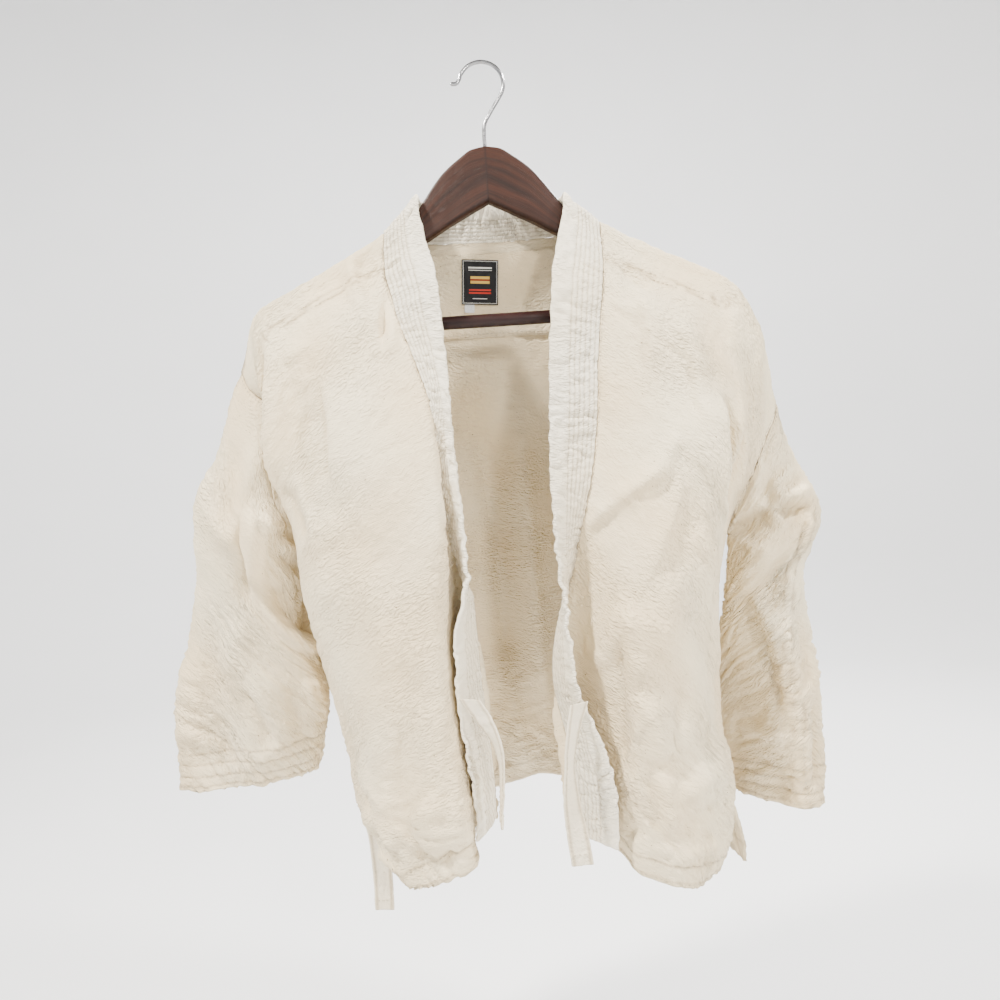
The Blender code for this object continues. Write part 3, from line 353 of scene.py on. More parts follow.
# Finer form of the shells
ROW_STEPS = [3, 3, 4] + [8] * 19 + [10, 12]
BAND_ROW_STEPS = [5, 6, 8] + [20] * 21
BAND_NECK_STEPS = 14
FRONT_COLUMN_STEPS = 8
BACK_COLUMN_STEPS = 5
SLEEVE_STEPS = 190
SHELL = 1.5
BAND_SHELL = 3.4
YOKE_SHELL = 0.9
SEAM_GAP = 0.3
HEM_WIDTH = 20.0
SLIT_HEM = 13.0
CUFF_WIDTH = 36.0
FELL_WIDTH = 8.0
BAND_ROWS = [0.09, 0.19, 0.29, 0.39, 0.49, 0.59]
CREASE_STRENGTH = 1.9
STITCH_PITCH = 4.2
STITCH_LENGTH = 2.9
STITCH_RADIUS = 0.34


class Crease(NamedTuple):
    """A crease that shows from the front, from one point to another, with a bow to its after side.

    before is the flank on the viewer's left of a crease that runs down, or below one that runs to the
    right. after is the other flank. A narrow flank beside a wide one makes a fold that laps over.
    """

    x0: float
    z0: float
    x1: float
    z1: float
    bow: float
    height: float
    before: float
    after: float


LEFT_FRONT_CREASES = [
    Crease(-94, -186, -103, -276, 1, -5.0, 3.5, 7), Crease(-86, -190, -97, -292, 1, 3.0, 8, 7),
    Crease(-153, -290, -148, -398, 5, 3.4, 4, 12), Crease(-158, -292, -153, -396, 5, -2.6, 8, 4),
    Crease(-188, -252, -160, -338, 6, 3.2, 16, 12), Crease(-205, -236, -205, -398, 0, 5.0, 3.5, 20),
    Crease(-212, -240, -210, -392, 0, -3.5, 8, 4), Crease(-198, -384, -176, -440, 3, -3.5, 5, 8),
    Crease(-186, -372, -168, -452, 4, 3.0, 5, 9), Crease(-146, -402, -160, -505, -5, 3.2, 12, 18),
    Crease(-118, -270, -104, -420, -6, 3.0, 16, 22), Crease(-128, -440, -108, -610, 8, 3.2, 20, 14),
    Crease(-92, -520, -100, -668, -5, -3.6, 14, 16), Crease(-78, -560, -86, -690, 3, 3.2, 9, 14),
    Crease(-140, -560, -128, -676, -4, -2.6, 10, 12), Crease(-148, -640, -112, -664, 3, 2.4, 5, 6),
    Crease(-144, -662, -104, -690, -3, 3.4, 5, 7), Crease(-150, -652, -120, -694, 3, -3.6, 5, 5),
    Crease(-118, -676, -70, -704, 5, 2.8, 7, 8), Crease(-100, -690, -58, -686, -4, -2.6, 6, 6),
    Crease(-92, -668, -62, -650, 4, 2.2, 5, 8), Crease(-134, -700, -92, -722, 4, 3.4, 6, 6),
    Crease(-74, -702, -48, -684, 3, -3.0, 5, 7), Crease(-112, -240, -122, -330, -4, -2.2, 9, 12),
    Crease(-168, -262, -172, -352, 3, -2.2, 8, 8),
]
RIGHT_FRONT_CREASES = [
    Crease(114, -204, 139, -236, -3, -2.8, 4, 6), Crease(120, -226, 130, -314, 7, 2.8, 6, 12),
    Crease(163, -292, 166, -362, -3, -1.4, 4, 6), Crease(168, -290, 172, -366, -3, 1.6, 6, 9),
    Crease(160, -346, 82, -436, 6, 3.0, 8, 9), Crease(148, -388, 56, -450, -5, 3.6, 9, 7),
    Crease(142, -396, 60, -456, -5, -2.6, 5, 7), Crease(150, -388, 99, -497, 4, 3.2, 10, 6),
    Crease(100, -495, 60, -566, 2, 3.6, 12, 5), Crease(98, -498, 93, -574, -3, 5.2, 4.5, 22),
    Crease(93, -572, 108, -640, 2, 5.6, 4.5, 22), Crease(106, -636, 114, -700, 1, 4.6, 4.5, 18),
    Crease(84, -520, 82, -650, -4, -5.0, 14, 8), Crease(97, -586, 79, -638, 1, 2.0, 2.6, 3),
    Crease(124, -470, 112, -560, 5, 3.0, 14, 16), Crease(148, -520, 138, -640, -6, 2.8, 16, 20),
    Crease(150, -446, 168, -470, 2, 2.0, 6, 8), Crease(128, -640, 170, -622, 5, -2.4, 9, 9),
    Crease(122, -668, 172, -654, 6, 2.6, 7, 9), Crease(116, -694, 172, -684, 8, -2.6, 7, 8),
    Crease(118, -716, 160, -716, 6, 2.4, 5, 7), Crease(186, -322, 178, -462, 2, 6.5, 24, 3.2),
    Crease(193, -330, 184, -456, 2, -6.0, 4, 8), Crease(152, -262, 168, -316, 4, 2.0, 9, 9),
    Crease(96, -236, 84, -360, -4, 2.4, 14, 16), Crease(208, -250, 206, -300, 2, 2.2, 7, 12),
    Crease(176, -560, 172, -640, -3, -2.4, 8, 6), Crease(60, -640, 62, -712, 2, -3.0, 8, 10),
    Crease(86, -690, 92, -740, 2, 3.0, 6, 8), Crease(212, -356, 204, -424, 2, 2.0, 5, 8),
]
LEFT_SLEEVE_CREASES = [
    Crease(-228, -392, -230, -488, -4, 7.0, 4, 20), Crease(-236, -398, -238, -500, -4, -4.5, 9, 5),
    Crease(-230, -486, -173, -553, -6, 3.2, 3.5, 6), Crease(-222, -470, -180, -532, -6, -7.0, 5, 17),
    Crease(-214, -446, -196, -470, 3, -3.2, 4, 5), Crease(-210, -438, -190, -456, 2, 3.0, 4, 4),
    Crease(-218, -424, -198, -440, 2, -2.6, 4, 4), Crease(-226, -410, -206, -428, -2, 2.4, 5, 4),
    Crease(-258, -560, -229, -630, 5, -4.2, 7, 10), Crease(-250, -556, -222, -626, 5, 3.4, 7, 10),
    Crease(-262, -350, -286, -470, -6, 3.6, 12, 16), Crease(-286, -400, -304, -560, -5, -3.4, 10, 12),
    Crease(-246, -330, -262, -430, 4, -2.8, 8, 9), Crease(-300, -520, -316, -640, -4, 3.0, 9, 12),
    Crease(-214, -560, -206, -640, 3, -3.2, 8, 8), Crease(-286, -590, -276, -646, 4, -3.0, 8, 9),
    Crease(-240, -500, -262, -560, -4, 2.8, 12, 10), Crease(-320, -600, -290, -626, 3, 2.0, 6, 7),
    Crease(-246, -640, -216, -622, 3, 2.2, 5, 6), Crease(-198, -560, -190, -610, 2, 2.6, 6, 8),
]
RIGHT_SLEEVE_CREASES = [
    Crease(202, -449, 239, -428, 3, 4.2, 4, 12), Crease(238, -428, 273, -431, 4, 4.4, 4, 12),
    Crease(204, -456, 240, -435, 3, -6.0, 12, 3.5), Crease(240, -435, 274, -438, 4, -5.0, 12, 3.5),
    Crease(216, -496, 244, -640, 5, 4.6, 5, 15), Crease(208, -500, 236, -640, 5, -5.2, 12, 6),
    Crease(250, -352, 236, -400, -3, -3.0, 4, 5), Crease(244, -376, 224, -424, -3, 2.6, 4, 6),
    Crease(262, -394, 238, -414, 3, 2.2, 4, 5), Crease(270, -404, 246, -420, 3, -2.4, 4, 4),
    Crease(276, -416, 252, -424, 2, 2.2, 3.5, 4), Crease(222, -404, 208, -440, 2, -3.0, 4, 4),
    Crease(246, -470, 230, -540, -3, -3.2, 7, 8), Crease(258, -520, 252, -600, 3, -2.8, 5, 6),
    Crease(262, -600, 256, -690, 2, -4.0, 4, 5), Crease(252, -606, 246, -694, 2, 3.0, 5, 5),
    Crease(226, -560, 240, -572, 2, 2.0, 5, 5), Crease(208, -642, 240, -640, 2, 3.0, 10, 4),
    Crease(214, -470, 232, -474, 3, 2.0, 5, 5), Crease(222, -660, 232, -700, 2, -3.0, 5, 6),
    Crease(268, -440, 256, -484, 3, 2.8, 5, 6), Crease(264, -452, 248, -500, 3, -2.6, 4, 5),
]
BACK_CREASES = [
    Crease(-60, -270, -66, -560, -6, 5.0, 16, 9), Crease(-24, -300, -10, -640, 6, -5.6, 14, 16),
    Crease(20, -290, 34, -700, -6, 4.6, 20, 12), Crease(60, -330, 74, -720, 5, -5.0, 12, 18),
    Crease(-110, -280, -120, -600, 4, -4.6, 12, 14), Crease(120, -280, 132, -640, -6, 4.8, 14, 10),
    Crease(-150, -330, -146, -640, 5, 4.2, 12, 14), Crease(166, -380, 160, -690, 4, -4.4, 10, 12),
    Crease(-170, -250, -120, -330, 8, -3.0, 10, 12), Crease(176, -250, 128, -340, -8, -3.0, 12, 10),
    Crease(-196, -420, -120, -470, 9, 3.2, 9, 12), Crease(196, -430, 120, -486, -9, 3.2, 12, 9),
    Crease(-100, -560, -60, -700, 6, 3.4, 12, 12), Crease(-10, -560, 6, -716, -4, 3.0, 12, 10),
    Crease(-196, -470, -140, -560, 8, -3.0, 8, 10), Crease(190, -490, 132, -580, -8, -3.0, 10, 8),
    Crease(96, -560, 110, -730, 4, 3.4, 10, 12), Crease(-34, -600, -30, -712, 3, -3.2, 8, 10),
]
CREASES_BEHIND_LEFT = [
    Crease(-250, -330, -296, -560, -8, 4.0, 14, 12), Crease(-226, -420, -250, -620, 6, -4.2, 10, 12),
    Crease(-206, -470, -216, -630, 4, 3.4, 9, 10), Crease(-290, -430, -316, -640, -6, -3.2, 10, 10),
    Crease(-262, -560, -236, -640, 4, 3.0, 8, 10), Crease(-214, -446, -196, -500, 3, -3.4, 5, 6),
    Crease(-270, -380, -232, -430, 4, -3.0, 8, 8),
]
CREASES_BEHIND_RIGHT = [
    Crease(252, -380, 240, -600, 6, 4.0, 12, 12), Crease(228, -450, 226, -660, -5, -4.2, 9, 11),
    Crease(250, -560, 246, -690, 3, 3.2, 8, 9), Crease(276, -410, 236, -450, -4, 3.4, 8, 8),
    Crease(268, -440, 232, -476, -4, -3.4, 6, 7), Crease(214, -470, 212, -560, 3, -3.0, 6, 7),
]
YOKE_LINE_LEFT = [(-205, -249), (-170, -231), (-135, -213), (-104, -196)]
YOKE_LINE_RIGHT = [(204, -247), (170, -231), (136, -214), (108, -199)]
SLEEVE_SEAM_RIGHT = [
    (268, -444), (259, -468), (247, -500), (241, -527), (236, -560), (233, -588), (240, -604),
    (243, -620), (239, -645), (239, -672), (242, -700),
]


# Loose threads: where each starts, how far it leans and how far it hangs
FRAYED_THREADS = [
    (184, -3, -652, 4, 17), (184.5, -2.5, -655, -5, 24), (185, -2, -658, 7, 12), (184, -3, -660, 1.5, 29),
    (185, -2.5, -662, -3, 15), (184.5, -3, -665, 9, 20),
]


def smooth_step(value):
    """0 below 0, 1 above 1, and an S-curve between."""
    held = np.clip(value, 0.0, 1.0)
    return held * held * (3.0 - 2.0 * held)


def smooth_column(knots, values, at):
    """Reads a table's column at any place with a smooth curve that never overshoots its rows."""
    order = np.argsort(knots)
    x = np.asarray(knots, float)[order]
    y = np.asarray(values, float)[order]
    step = np.diff(x)
    slope = np.diff(y) / step
    tangent = np.zeros_like(y)
    product = slope[:-1] * slope[1:]
    total = slope[:-1] + slope[1:]
    tangent[1:-1] = np.where(product > 0, 2.0 * product / np.where(total == 0, 1.0, total), 0.0)
    tangent[0] = slope[0]
    tangent[-1] = slope[-1]
    place = np.clip(np.asarray(at, float), x[0], x[-1])
    i = np.clip(np.searchsorted(x, place, side="right") - 1, 0, len(x) - 2)
    s = (place - x[i]) / step[i]
    rest = 1.0 - s
    return (
        (1 + 2 * s) * rest**2 * y[i]
        + s * rest**2 * step[i] * tangent[i]
        + s**2 * (3 - 2 * s) * y[i + 1]
        - s**2 * rest * step[i] * tangent[i + 1]
    )


def spread_evenly(points, count):
    """Places count points at equal steps of length along a polyline."""
    steps = np.linalg.norm(np.diff(points, axis=0), axis=1)
    travel = np.concatenate([[0.0], np.cumsum(steps)])
    wanted = np.linspace(0.0, travel[-1], count)
    even = [np.interp(wanted, travel, points[:, k]) for k in range(points.shape[1])]
    return np.stack(even, axis=1), travel[-1]


def round_curve(points, per_span=12):
    """A smooth curve through the points, with tangents along each point's two neighbours."""
    p = np.asarray(points, float)
    chord = np.sqrt(np.linalg.norm(np.diff(p, axis=0), axis=1)) + 1e-9
    knot = np.concatenate([[0.0], np.cumsum(chord)])
    tangent = np.zeros_like(p)
    tangent[1:-1] = (p[2:] - p[:-2]) / (knot[2:] - knot[:-2])[:, None]
    tangent[0] = (p[1] - p[0]) / chord[0]
    tangent[-1] = (p[-1] - p[-2]) / chord[-1]
    pieces = []
    for i in range(len(p) - 1):
        s = np.linspace(0.0, 1.0, per_span, endpoint=i == len(p) - 2)[:, None]
        rest = 1.0 - s
        pieces.append(
            (1 + 2 * s) * rest**2 * p[i]
            + s * rest**2 * chord[i] * tangent[i]
            + s**2 * (3 - 2 * s) * p[i + 1]
            - s**2 * rest * chord[i] * tangent[i + 1]
        )
    return np.concatenate(pieces)


def column(table, name):
    """One named column of a table."""
    return [getattr(row, name) for row in table]


def wood_bow(x):
    """How far forward the contoured hanger lies at a distance from its middle."""
    return -WOOD_BOW * (np.abs(x) / WOOD_HALF_SPAN) ** 2


class FrontShape:
    """One front with its half of the collar band, as level sections joined to the shoulder line."""

    def __init__(self, sections, shoulder, side, hem):
        """Works out the plan curve at every level from the section table."""
        self.side = side
        self.sections = sections
        self.shoulder, _ = spread_evenly(round_curve(shoulder), CURVE_SAMPLES)
        self.hem = hem
        self.levels = np.arange(-150.0, -790.0, -LEVEL_STEP)
        height = column(sections, "z")
        names = ["side", "cheek", "crown", "valley", "root", "edge"]
        at = {
            part + axis: smooth_column(height, column(sections, part + axis), self.levels)
            for part in names
            for axis in ("_x", "_y")
        }
        self.curves = []
        self.lengths = []
        for k in range(len(self.levels)):
            knots = [(at[part + "_x"][k], at[part + "_y"][k]) for part in names]
            curve, length = spread_evenly(round_curve(knots), CURVE_SAMPLES)
            self.curves.append(curve)
            self.lengths.append(length)
        self.curves = np.array(self.curves)
        self.lengths = np.array(self.lengths)

    def plan(self, z, share):
        """The plan point at a height, a share of the way from side seam to collar seam, or past 1 on the band."""
        level = np.clip((self.levels[0] - z) / LEVEL_STEP, 0, len(self.levels) - 1.001)
        low = int(level)
        mix = level - low
        length = self.lengths[low] * (1 - mix) + self.lengths[low + 1] * mix
        panel = length - BAND_WIDTH
        distance = panel * share if share <= 1 else panel + BAND_WIDTH * (share - 1)
        place = np.clip(distance / length, 0, 1) * (CURVE_SAMPLES - 1)
        first = min(int(place), CURVE_SAMPLES - 2)
        part = place - first
        near = self.curves[low, first] * (1 - part) + self.curves[low, first + 1] * part
        far = self.curves[low + 1, first] * (1 - part) + self.curves[low + 1, first + 1] * part
        return near * (1 - mix) + far * mix

    def shoulder_point(self, share):
        """The shoulder line's point, from the armhole seam at 0 to the collar seam at 1."""
        place = np.clip(share, 0, 1) * (CURVE_SAMPLES - 1)
        first = min(int(place), CURVE_SAMPLES - 2)
        part = place - first
        x, z = self.shoulder[first] * (1 - part) + self.shoulder[first + 1] * part
        return x, wood_bow(x) * smooth_step(share / SIDE_ZONE), z

    def height(self, share, row, hem):
        """The height of a grid row, a share of the way across the panel."""
        top = self.shoulder_point(share)[2]
        bottom = smooth_column(column(hem, "across"), column(hem, "z"), share)
        anchors = [top, self.side.armpit, self.side.slit_top, bottom]
        beside = np.interp(row, [0, ROW_ARMPIT, ROW_SLIT, ROW_HEM], anchors)
        last = len(SADDLE_DROP) - 1
        if row <= last:
            fallen = top - np.interp(row, range(last + 1), SADDLE_DROP)
        else:
            start = top - SADDLE_DROP[last]
            fallen = start + (bottom - start) * (row - last) / (ROW_HEM - last)
        mix = smooth_step(share / SIDE_ZONE)
        return beside * (1 - mix) + fallen * mix

    def settle(self, share, row):
        """How far a row has left the shoulder line for the hanging sections, from 0 to 1."""
        last = len(SADDLE_DROP) - 1
        drop = np.interp(row, range(last + 1), SADDLE_DROP) if row <= last else 17.0 + (row - last) * 25.0
        plain = smooth_step((drop - 5.0) / SADDLE_EASE)
        beside = smooth_step(row / 2.5)
        mix = smooth_step(share / SIDE_ZONE)
        return beside * (1 - mix) + plain * mix

    def saddle(self, share, row):
        """How far the cloth stands out round the wood's top edge."""
        out = np.interp(row, range(len(SADDLE_OUT)), SADDLE_OUT)
        return out * smooth_step(share / SADDLE_ZONE)

    def point(self, share, row):
        """A point of the front's middle surface."""
        x, y, _ = self.shoulder_point(share)
        z = self.height(share, row, self.hem)
        settle = self.settle(share, row)
        plan = self.plan(z, share)
        out = self.saddle(share, row)
        return np.array([
            x * (1 - settle) + plan[0] * settle,
            (y - out) * (1 - settle) + plan[1] * settle,
            z,
        ])

    def band_edge(self, row):
        """A point of the band's free edge, level with a row of the collar seam."""
        seam = self.point(1.0, row)
        settle = self.settle(1.0, row)
        plan = self.plan(seam[2], 2.0)
        edge_x, edge_z = NECK_EDGE_RIGHT if self.shoulder[0][0] > 0 else NECK_EDGE_LEFT
        top_z = self.shoulder_point(1.0)[2]
        lift = (edge_z - top_z) * (1 - smooth_step((top_z - seam[2]) / BAND_FALL))
        start = np.array([edge_x, NECK_EDGE_SIDE_Y - self.saddle(1.0, row) * BAND_SADDLE])
        flat = start * (1 - settle) + plan * settle
        return np.array([flat[0], flat[1], seam[2] + lift])


def front_grid(shape):
    """Rows of points over a front, from its side to the collar seam."""
    return np.array([
        [shape.point(c / COLUMNS, row) for c in range(COLUMNS + 1)] for row in range(ROW_HEM + 1)
    ])


def back_side(shape, hem, z):
    """The back's own side line: apart from the front's at the armhole and below the slit."""
    side = shape.side
    top_x, _, top_z = shape.shoulder_point(0.0)
    if z > side.armpit:
        share = np.clip((top_z - z) / (top_z - side.armpit), 0, 1)
        under = shape.plan(side.armpit, 0.0)
        x = top_x * (1 - share**1.4) + under[0] * share**1.4
        return np.array([x, under[1] * share + ARMHOLE_GAPE * np.sin(np.pi * share)])
    if z > side.slit_top:
        return shape.plan(z, 0.0)
    start = shape.plan(side.slit_top, 0.0)
    drop = smooth_step((side.slit_top - z) / (side.slit_top - hem[0].z))
    return start * (1 - drop) + np.array([side.corner_x, side.corner_y]) * drop


def back_point(left, right, side, share, row):
    """A point of the back. share runs from 0 at one side seam, in to 1 at the middle of the back."""
    shape = left if side < 0 else right
    hem = LEFT_BACK_HEM if side < 0 else RIGHT_BACK_HEM
    neck = NECK_SHARE
    along = min(share / neck, 1.0)
    x, y, top = shape.shoulder_point(along)
    angle = 0.5 * np.pi * max(share - neck, 0.0) / (1 - neck)
    free = np.sin(angle) ** 2
    if free > 0:
        y = y * np.cos(angle) + NECK_SEAM_DEPTH * np.sin(angle) ** 0.8
        top = top * (1 - free) + NECK_SEAM_HEIGHT * free
        x = x * np.cos(angle)
    steps = np.array(SADDLE_DROP) * (1 - free) + np.array(NECK_DROP) * free
    bottom = smooth_column(column(hem, "across"), column(hem, "z"), share)
    anchors = [top, shape.side.armpit, shape.side.slit_top, bottom]
    beside = np.interp(row, [0, ROW_ARMPIT, ROW_SLIT, ROW_HEM], anchors)
    last = len(steps) - 1
    if row <= last:
        fallen = top - steps[row]
    else:
        start = top - steps[last]
        fallen = start + (bottom - start) * (row - last) / (ROW_HEM - last)
    mix = smooth_step(along / SIDE_ZONE)
    z = beside * (1 - mix) + fallen * mix
    sides = {-1: back_side(left, LEFT_BACK_HEM, z), 1: back_side(right, RIGHT_BACK_HEM, z)}
    middle_y = smooth_column(column(BACK, "z"), column(BACK, "middle_y"), z)
    spread = np.radians(BACK_SPREAD)
    angle = side * (1 - share) * spread
    reach = np.sin(angle) / np.sin(spread)
    swell = (np.cos(angle) - np.cos(spread)) / (1 - np.cos(spread))
    centre_x = 0.5 * (sides[-1][0] + sides[1][0])
    half = 0.5 * (sides[1][0] - sides[-1][0])
    plan_x = centre_x + half * reach
    plan_y = sides[side][1] + (middle_y - sides[side][1]) * swell
    settle = shape.settle(along, row)
    out = shape.saddle(along, row) * (1 - free)
    return np.array([x * (1 - settle) + plan_x * settle, (y + out) * (1 - settle) + plan_y * settle, z])


def back_grid(left, right):
    """Rows of points over the back, from the left side seam to the right one."""
    half = NECK_COLUMNS // 2
    shares = [NECK_SHARE * c / COLUMNS for c in range(COLUMNS + 1)]
    shares += [NECK_SHARE + (1 - NECK_SHARE) * (c + 1) / half for c in range(half)]
    places = [(-1, s) for s in shares] + [(1, s) for s in reversed(shares[:-1])]
    return np.array([
        [back_point(left, right, side, share, row) for side, share in places]
        for row in range(ROW_HEM + 1)
    ])


def band_grid(left: FrontShape, right: FrontShape, back: Array) -> Array:
    """Two columns of points, the seam and the free edge, along the whole collar band from hem to hem.

    Args:
        left: The left front.
        right: The right front.
        back: The back's own grid.

    Returns:
        A row of two points for each station.
    """
    stations = [(left.point(1.0, row), left.band_edge(row)) for row in range(ROW_HEM, -1, -1)]
    for c in range(1, NECK_COLUMNS):
        angle = np.pi * c / NECK_COLUMNS
        rise = np.sin(angle) ** 0.8
        edge_x, edge_z = NECK_EDGE_LEFT if angle < np.pi / 2 else NECK_EDGE_RIGHT
        edge = np.array([
            edge_x * abs(np.cos(angle)),
            NECK_EDGE_SIDE_Y + (NECK_EDGE_DEPTH - NECK_EDGE_SIDE_Y) * rise,
            edge_z + (NECK_EDGE_HEIGHT - edge_z) * rise,
        ])
        stations.append((back[0, COLUMNS + c], edge))
    stations += [(right.point(1.0, row), right.band_edge(row)) for row in range(ROW_HEM + 1)]
    return np.array(stations)


def sleeve_grid(table: Sequence[Sleeve], loop: Array) -> Array:
    """Rings of points down a sleeve, from the armhole's loop of points to the cuff.

    Args:
        table: The sleeve's sections.
        loop: The armhole's points, from the armpit over the front and back to the armpit.

    Returns:
        The rings.
    """
    angles = np.pi * (1 - np.arange(len(loop)) / ROW_ARMPIT)
    rings = []
    for k in range(SLEEVE_RINGS + 1):
        along = k / SLEEVE_RINGS
        read = {
            name: float(smooth_column(column(table, "along"), column(table, name), along))
            for name in Sleeve._fields[1:]
        }
        outer = np.array([read["outer_x"], read["outer_y"], read["outer_z"]])
        inner = np.array([read["inner_x"], read["inner_y"], read["inner_z"]])
        level = (outer - inner) * [1, 1, 0]
        facing = np.array([-level[1], level[0], 0.0]) / np.linalg.norm(level)
        if facing[1] > 0:
            facing = -facing
        belly = np.sign(np.sin(angles)) * np.abs(np.sin(angles)) ** 0.75
        middle = (outer + inner) / 2 + np.cos(angles)[:, None] * (outer - inner) / 2
        rings.append(middle + belly[:, None] * facing * read["depth"])
    start = rings[0]
    fade = [1 - smooth_step(k / SLEEVE_RINGS / 0.3) for k in range(SLEEVE_RINGS + 1)]
    return np.array([ring + (loop - start) * share for ring, share in zip(rings, fade)])


def grid_normals(grid: Array, turned: bool, ring: bool = False) -> Array:
    """Unit normals of a grid's points, out of the garment. turned flips them, and ring joins its sides."""
    down = np.gradient(grid, axis=0)
    if ring:
        wrapped = np.concatenate([grid[:, -2:-1], grid, grid[:, 1:2]], axis=1)
        over = (wrapped[:, 2:] - wrapped[:, :-2]) / 2
    else:
        over = np.gradient(grid, axis=1)
    normal = np.cross(over, down) * (-1 if turned else 1)
    return normal / np.maximum(np.linalg.norm(normal, axis=2, keepdims=True), 1e-9)


def raise_folds(grid: Array, folds: Sequence[Fold], turned: bool, ring: bool = False) -> Array:
    """Moves a coarse grid along its normals by its folds, which fade out at its seams.

    Args:
        grid: The grid, as in the solids.
        folds: Its table of folds.
        turned: Whether its normals are flipped.
        ring: Whether it is a tube.

    Returns:
        The moved grid.
    """
    rows, columns = grid.shape[:2]
    down, across = np.meshgrid(np.linspace(0, 1, rows), np.linspace(0, 1, columns), indexing="ij")
    lift = np.zeros((rows, columns))
    for fold in folds:
        run = (down - fold.down_top) / (fold.down_end - fold.down_top)
        line = fold.across_top + (fold.across_end - fold.across_top) * np.clip(run, 0, 1)
        beside = across - line
        flank = np.where(beside < 0, fold.rise, fold.fall)
        length = smooth_step(run / 0.3) * smooth_step((1 - run) / 0.25)
        lift += fold.height * np.exp(-((beside / flank) ** 2)) * length
    edge = smooth_step(across / 0.08) * smooth_step((1 - across) / 0.08) * smooth_step(down / 0.08)
    return grid + grid_normals(grid, turned, ring) * (lift * edge)[..., None]


def read_between(points: Array, places: Array) -> Array:
    """Reads rows of a table of points at fractional places, along a smooth curve.

    Args:
        points: The known points, one for each whole place.
        places: Where to read, from 0 to the last whole place.

    Returns:
        One point for each place.
    """
    last = len(points) - 1
    i = np.clip(places.astype(int), 0, last - 1)
    s = (places - i).reshape((-1,) + (1,) * (points.ndim - 1))
    here, after = points[i], points[i + 1]
    before = np.where((i == 0).reshape(s.shape), 2 * here - after, points[np.maximum(i - 1, 0)])
    beyond = np.where((i + 1 == last).reshape(s.shape), 2 * after - here, points[np.minimum(i + 2, last)])
    leave, arrive = (after - before) / 2, (beyond - here) / 2
    rest = 1.0 - s
    return (
        (1 + 2 * s) * rest**2 * here + s * rest**2 * leave
        + s**2 * (3 - 2 * s) * after - s**2 * rest * arrive
    )


def fine_places(steps: Sequence[int]) -> Array:
    """Places along a grid, with the given number of steps in each of its intervals."""
    parts = [k + np.arange(count) / count for k, count in enumerate(steps)]
    return np.concatenate(parts + [np.array([float(len(steps))])])


def ripple(u: Array, v: Array, seed: int) -> Array:
    """Smooth random hills and hollows of about one unit across.

    Args:
        u: First coordinate of each place.
        v: Second coordinate of each place.
        seed: Picks the pattern.

    Returns:
        Heights from about -1 to 1.
    """
    low_u, low_v = np.floor(u), np.floor(v)
    in_u, in_v = u - low_u, v - low_v

    def slope(step_u: int, step_v: int) -> Array:
        """The height that one lattice corner gives to a place."""
        mixed = np.sin((low_u + step_u) * 127.1 + (low_v + step_v) * 311.7 + seed * 74.7) * 43758.5453
        angle = 2.0 * np.pi * (mixed - np.floor(mixed))
        return np.cos(angle) * (in_u - step_u) + np.sin(angle) * (in_v - step_v)

    ease_u = in_u**3 * (in_u * (in_u * 6 - 15) + 10)
    ease_v = in_v**3 * (in_v * (in_v * 6 - 15) + 10)
    near = slope(0, 0) * (1 - ease_u) + slope(1, 0) * ease_u
    far = slope(0, 1) * (1 - ease_u) + slope(1, 1) * ease_u
    return 1.5 * (near * (1 - ease_v) + far * ease_v)


def crumple(u: Array, v: Array, seed: int) -> Array:
    """Washed cotton's crumple: sharp little ridges between soft hollows, from about -1 to 1."""
    warp_u = u + 0.7 * ripple(u * 0.6, v * 0.6, seed + 11)
    warp_v = v + 0.7 * ripple(u * 0.6, v * 0.6, seed + 17)
    ridge = 1.0 - 2.6 * np.abs(ripple(warp_u, warp_v, seed))
    finer = 1.0 - 2.6 * np.abs(ripple(warp_u * 2.1, warp_v * 2.1, seed + 5))
    return 0.68 * ridge + 0.32 * finer


def crease_lift(x: Array, z: Array, creases: Sequence[Crease]) -> Array:
    """The height of all creases of a table over a panel.

    Args:
        x: The panel's points across, in millimetres.
        z: The panel's points in height.
        creases: The table.

    Returns:
        Heights along the panel's normals, in millimetres.
    """
    lift = np.zeros_like(x)
    count = 24
    t = np.linspace(0.0, 1.0, count)
    for c in creases:
        run = np.array([c.x1 - c.x0, c.z1 - c.z0])
        length = float(np.hypot(*run))
        side = np.array([-run[1], run[0]]) / length
        bow = 4.0 * t * (1 - t) * c.bow
        line_x = c.x0 + run[0] * t + side[0] * bow
        line_z = c.z0 + run[1] * t + side[1] * bow
        reach = 2.4 * max(c.before, c.after) + abs(c.bow)
        low_x, high_x = min(c.x0, c.x1) - reach, max(c.x0, c.x1) + reach
        low_z, high_z = min(c.z0, c.z1) - reach, max(c.z0, c.z1) + reach
        near = (x > low_x) & (x < high_x) & (z > low_z) & (z < high_z)
        if not near.any():
            continue
        px, pz = x[near], z[near]
        k = np.argmin((px[:, None] - line_x) ** 2 + (pz[:, None] - line_z) ** 2, axis=1)
        along_x, along_z = np.gradient(line_x)[k], np.gradient(line_z)[k]
        step = np.hypot(along_x, along_z)
        gap_x, gap_z = px - line_x[k], pz - line_z[k]
        beside = (-gap_x * along_z + gap_z * along_x) / step
        place = t[k] + (gap_x * along_x + gap_z * along_z) / step / length
        flank = np.where(beside < 0, c.before, c.after)
        shape = np.exp(-np.abs(beside / flank) ** 1.7)
        ends = smooth_step(place / 0.28) * smooth_step((1 - place) / 0.28)
        lift[near] += c.height * shape * ends
    return lift


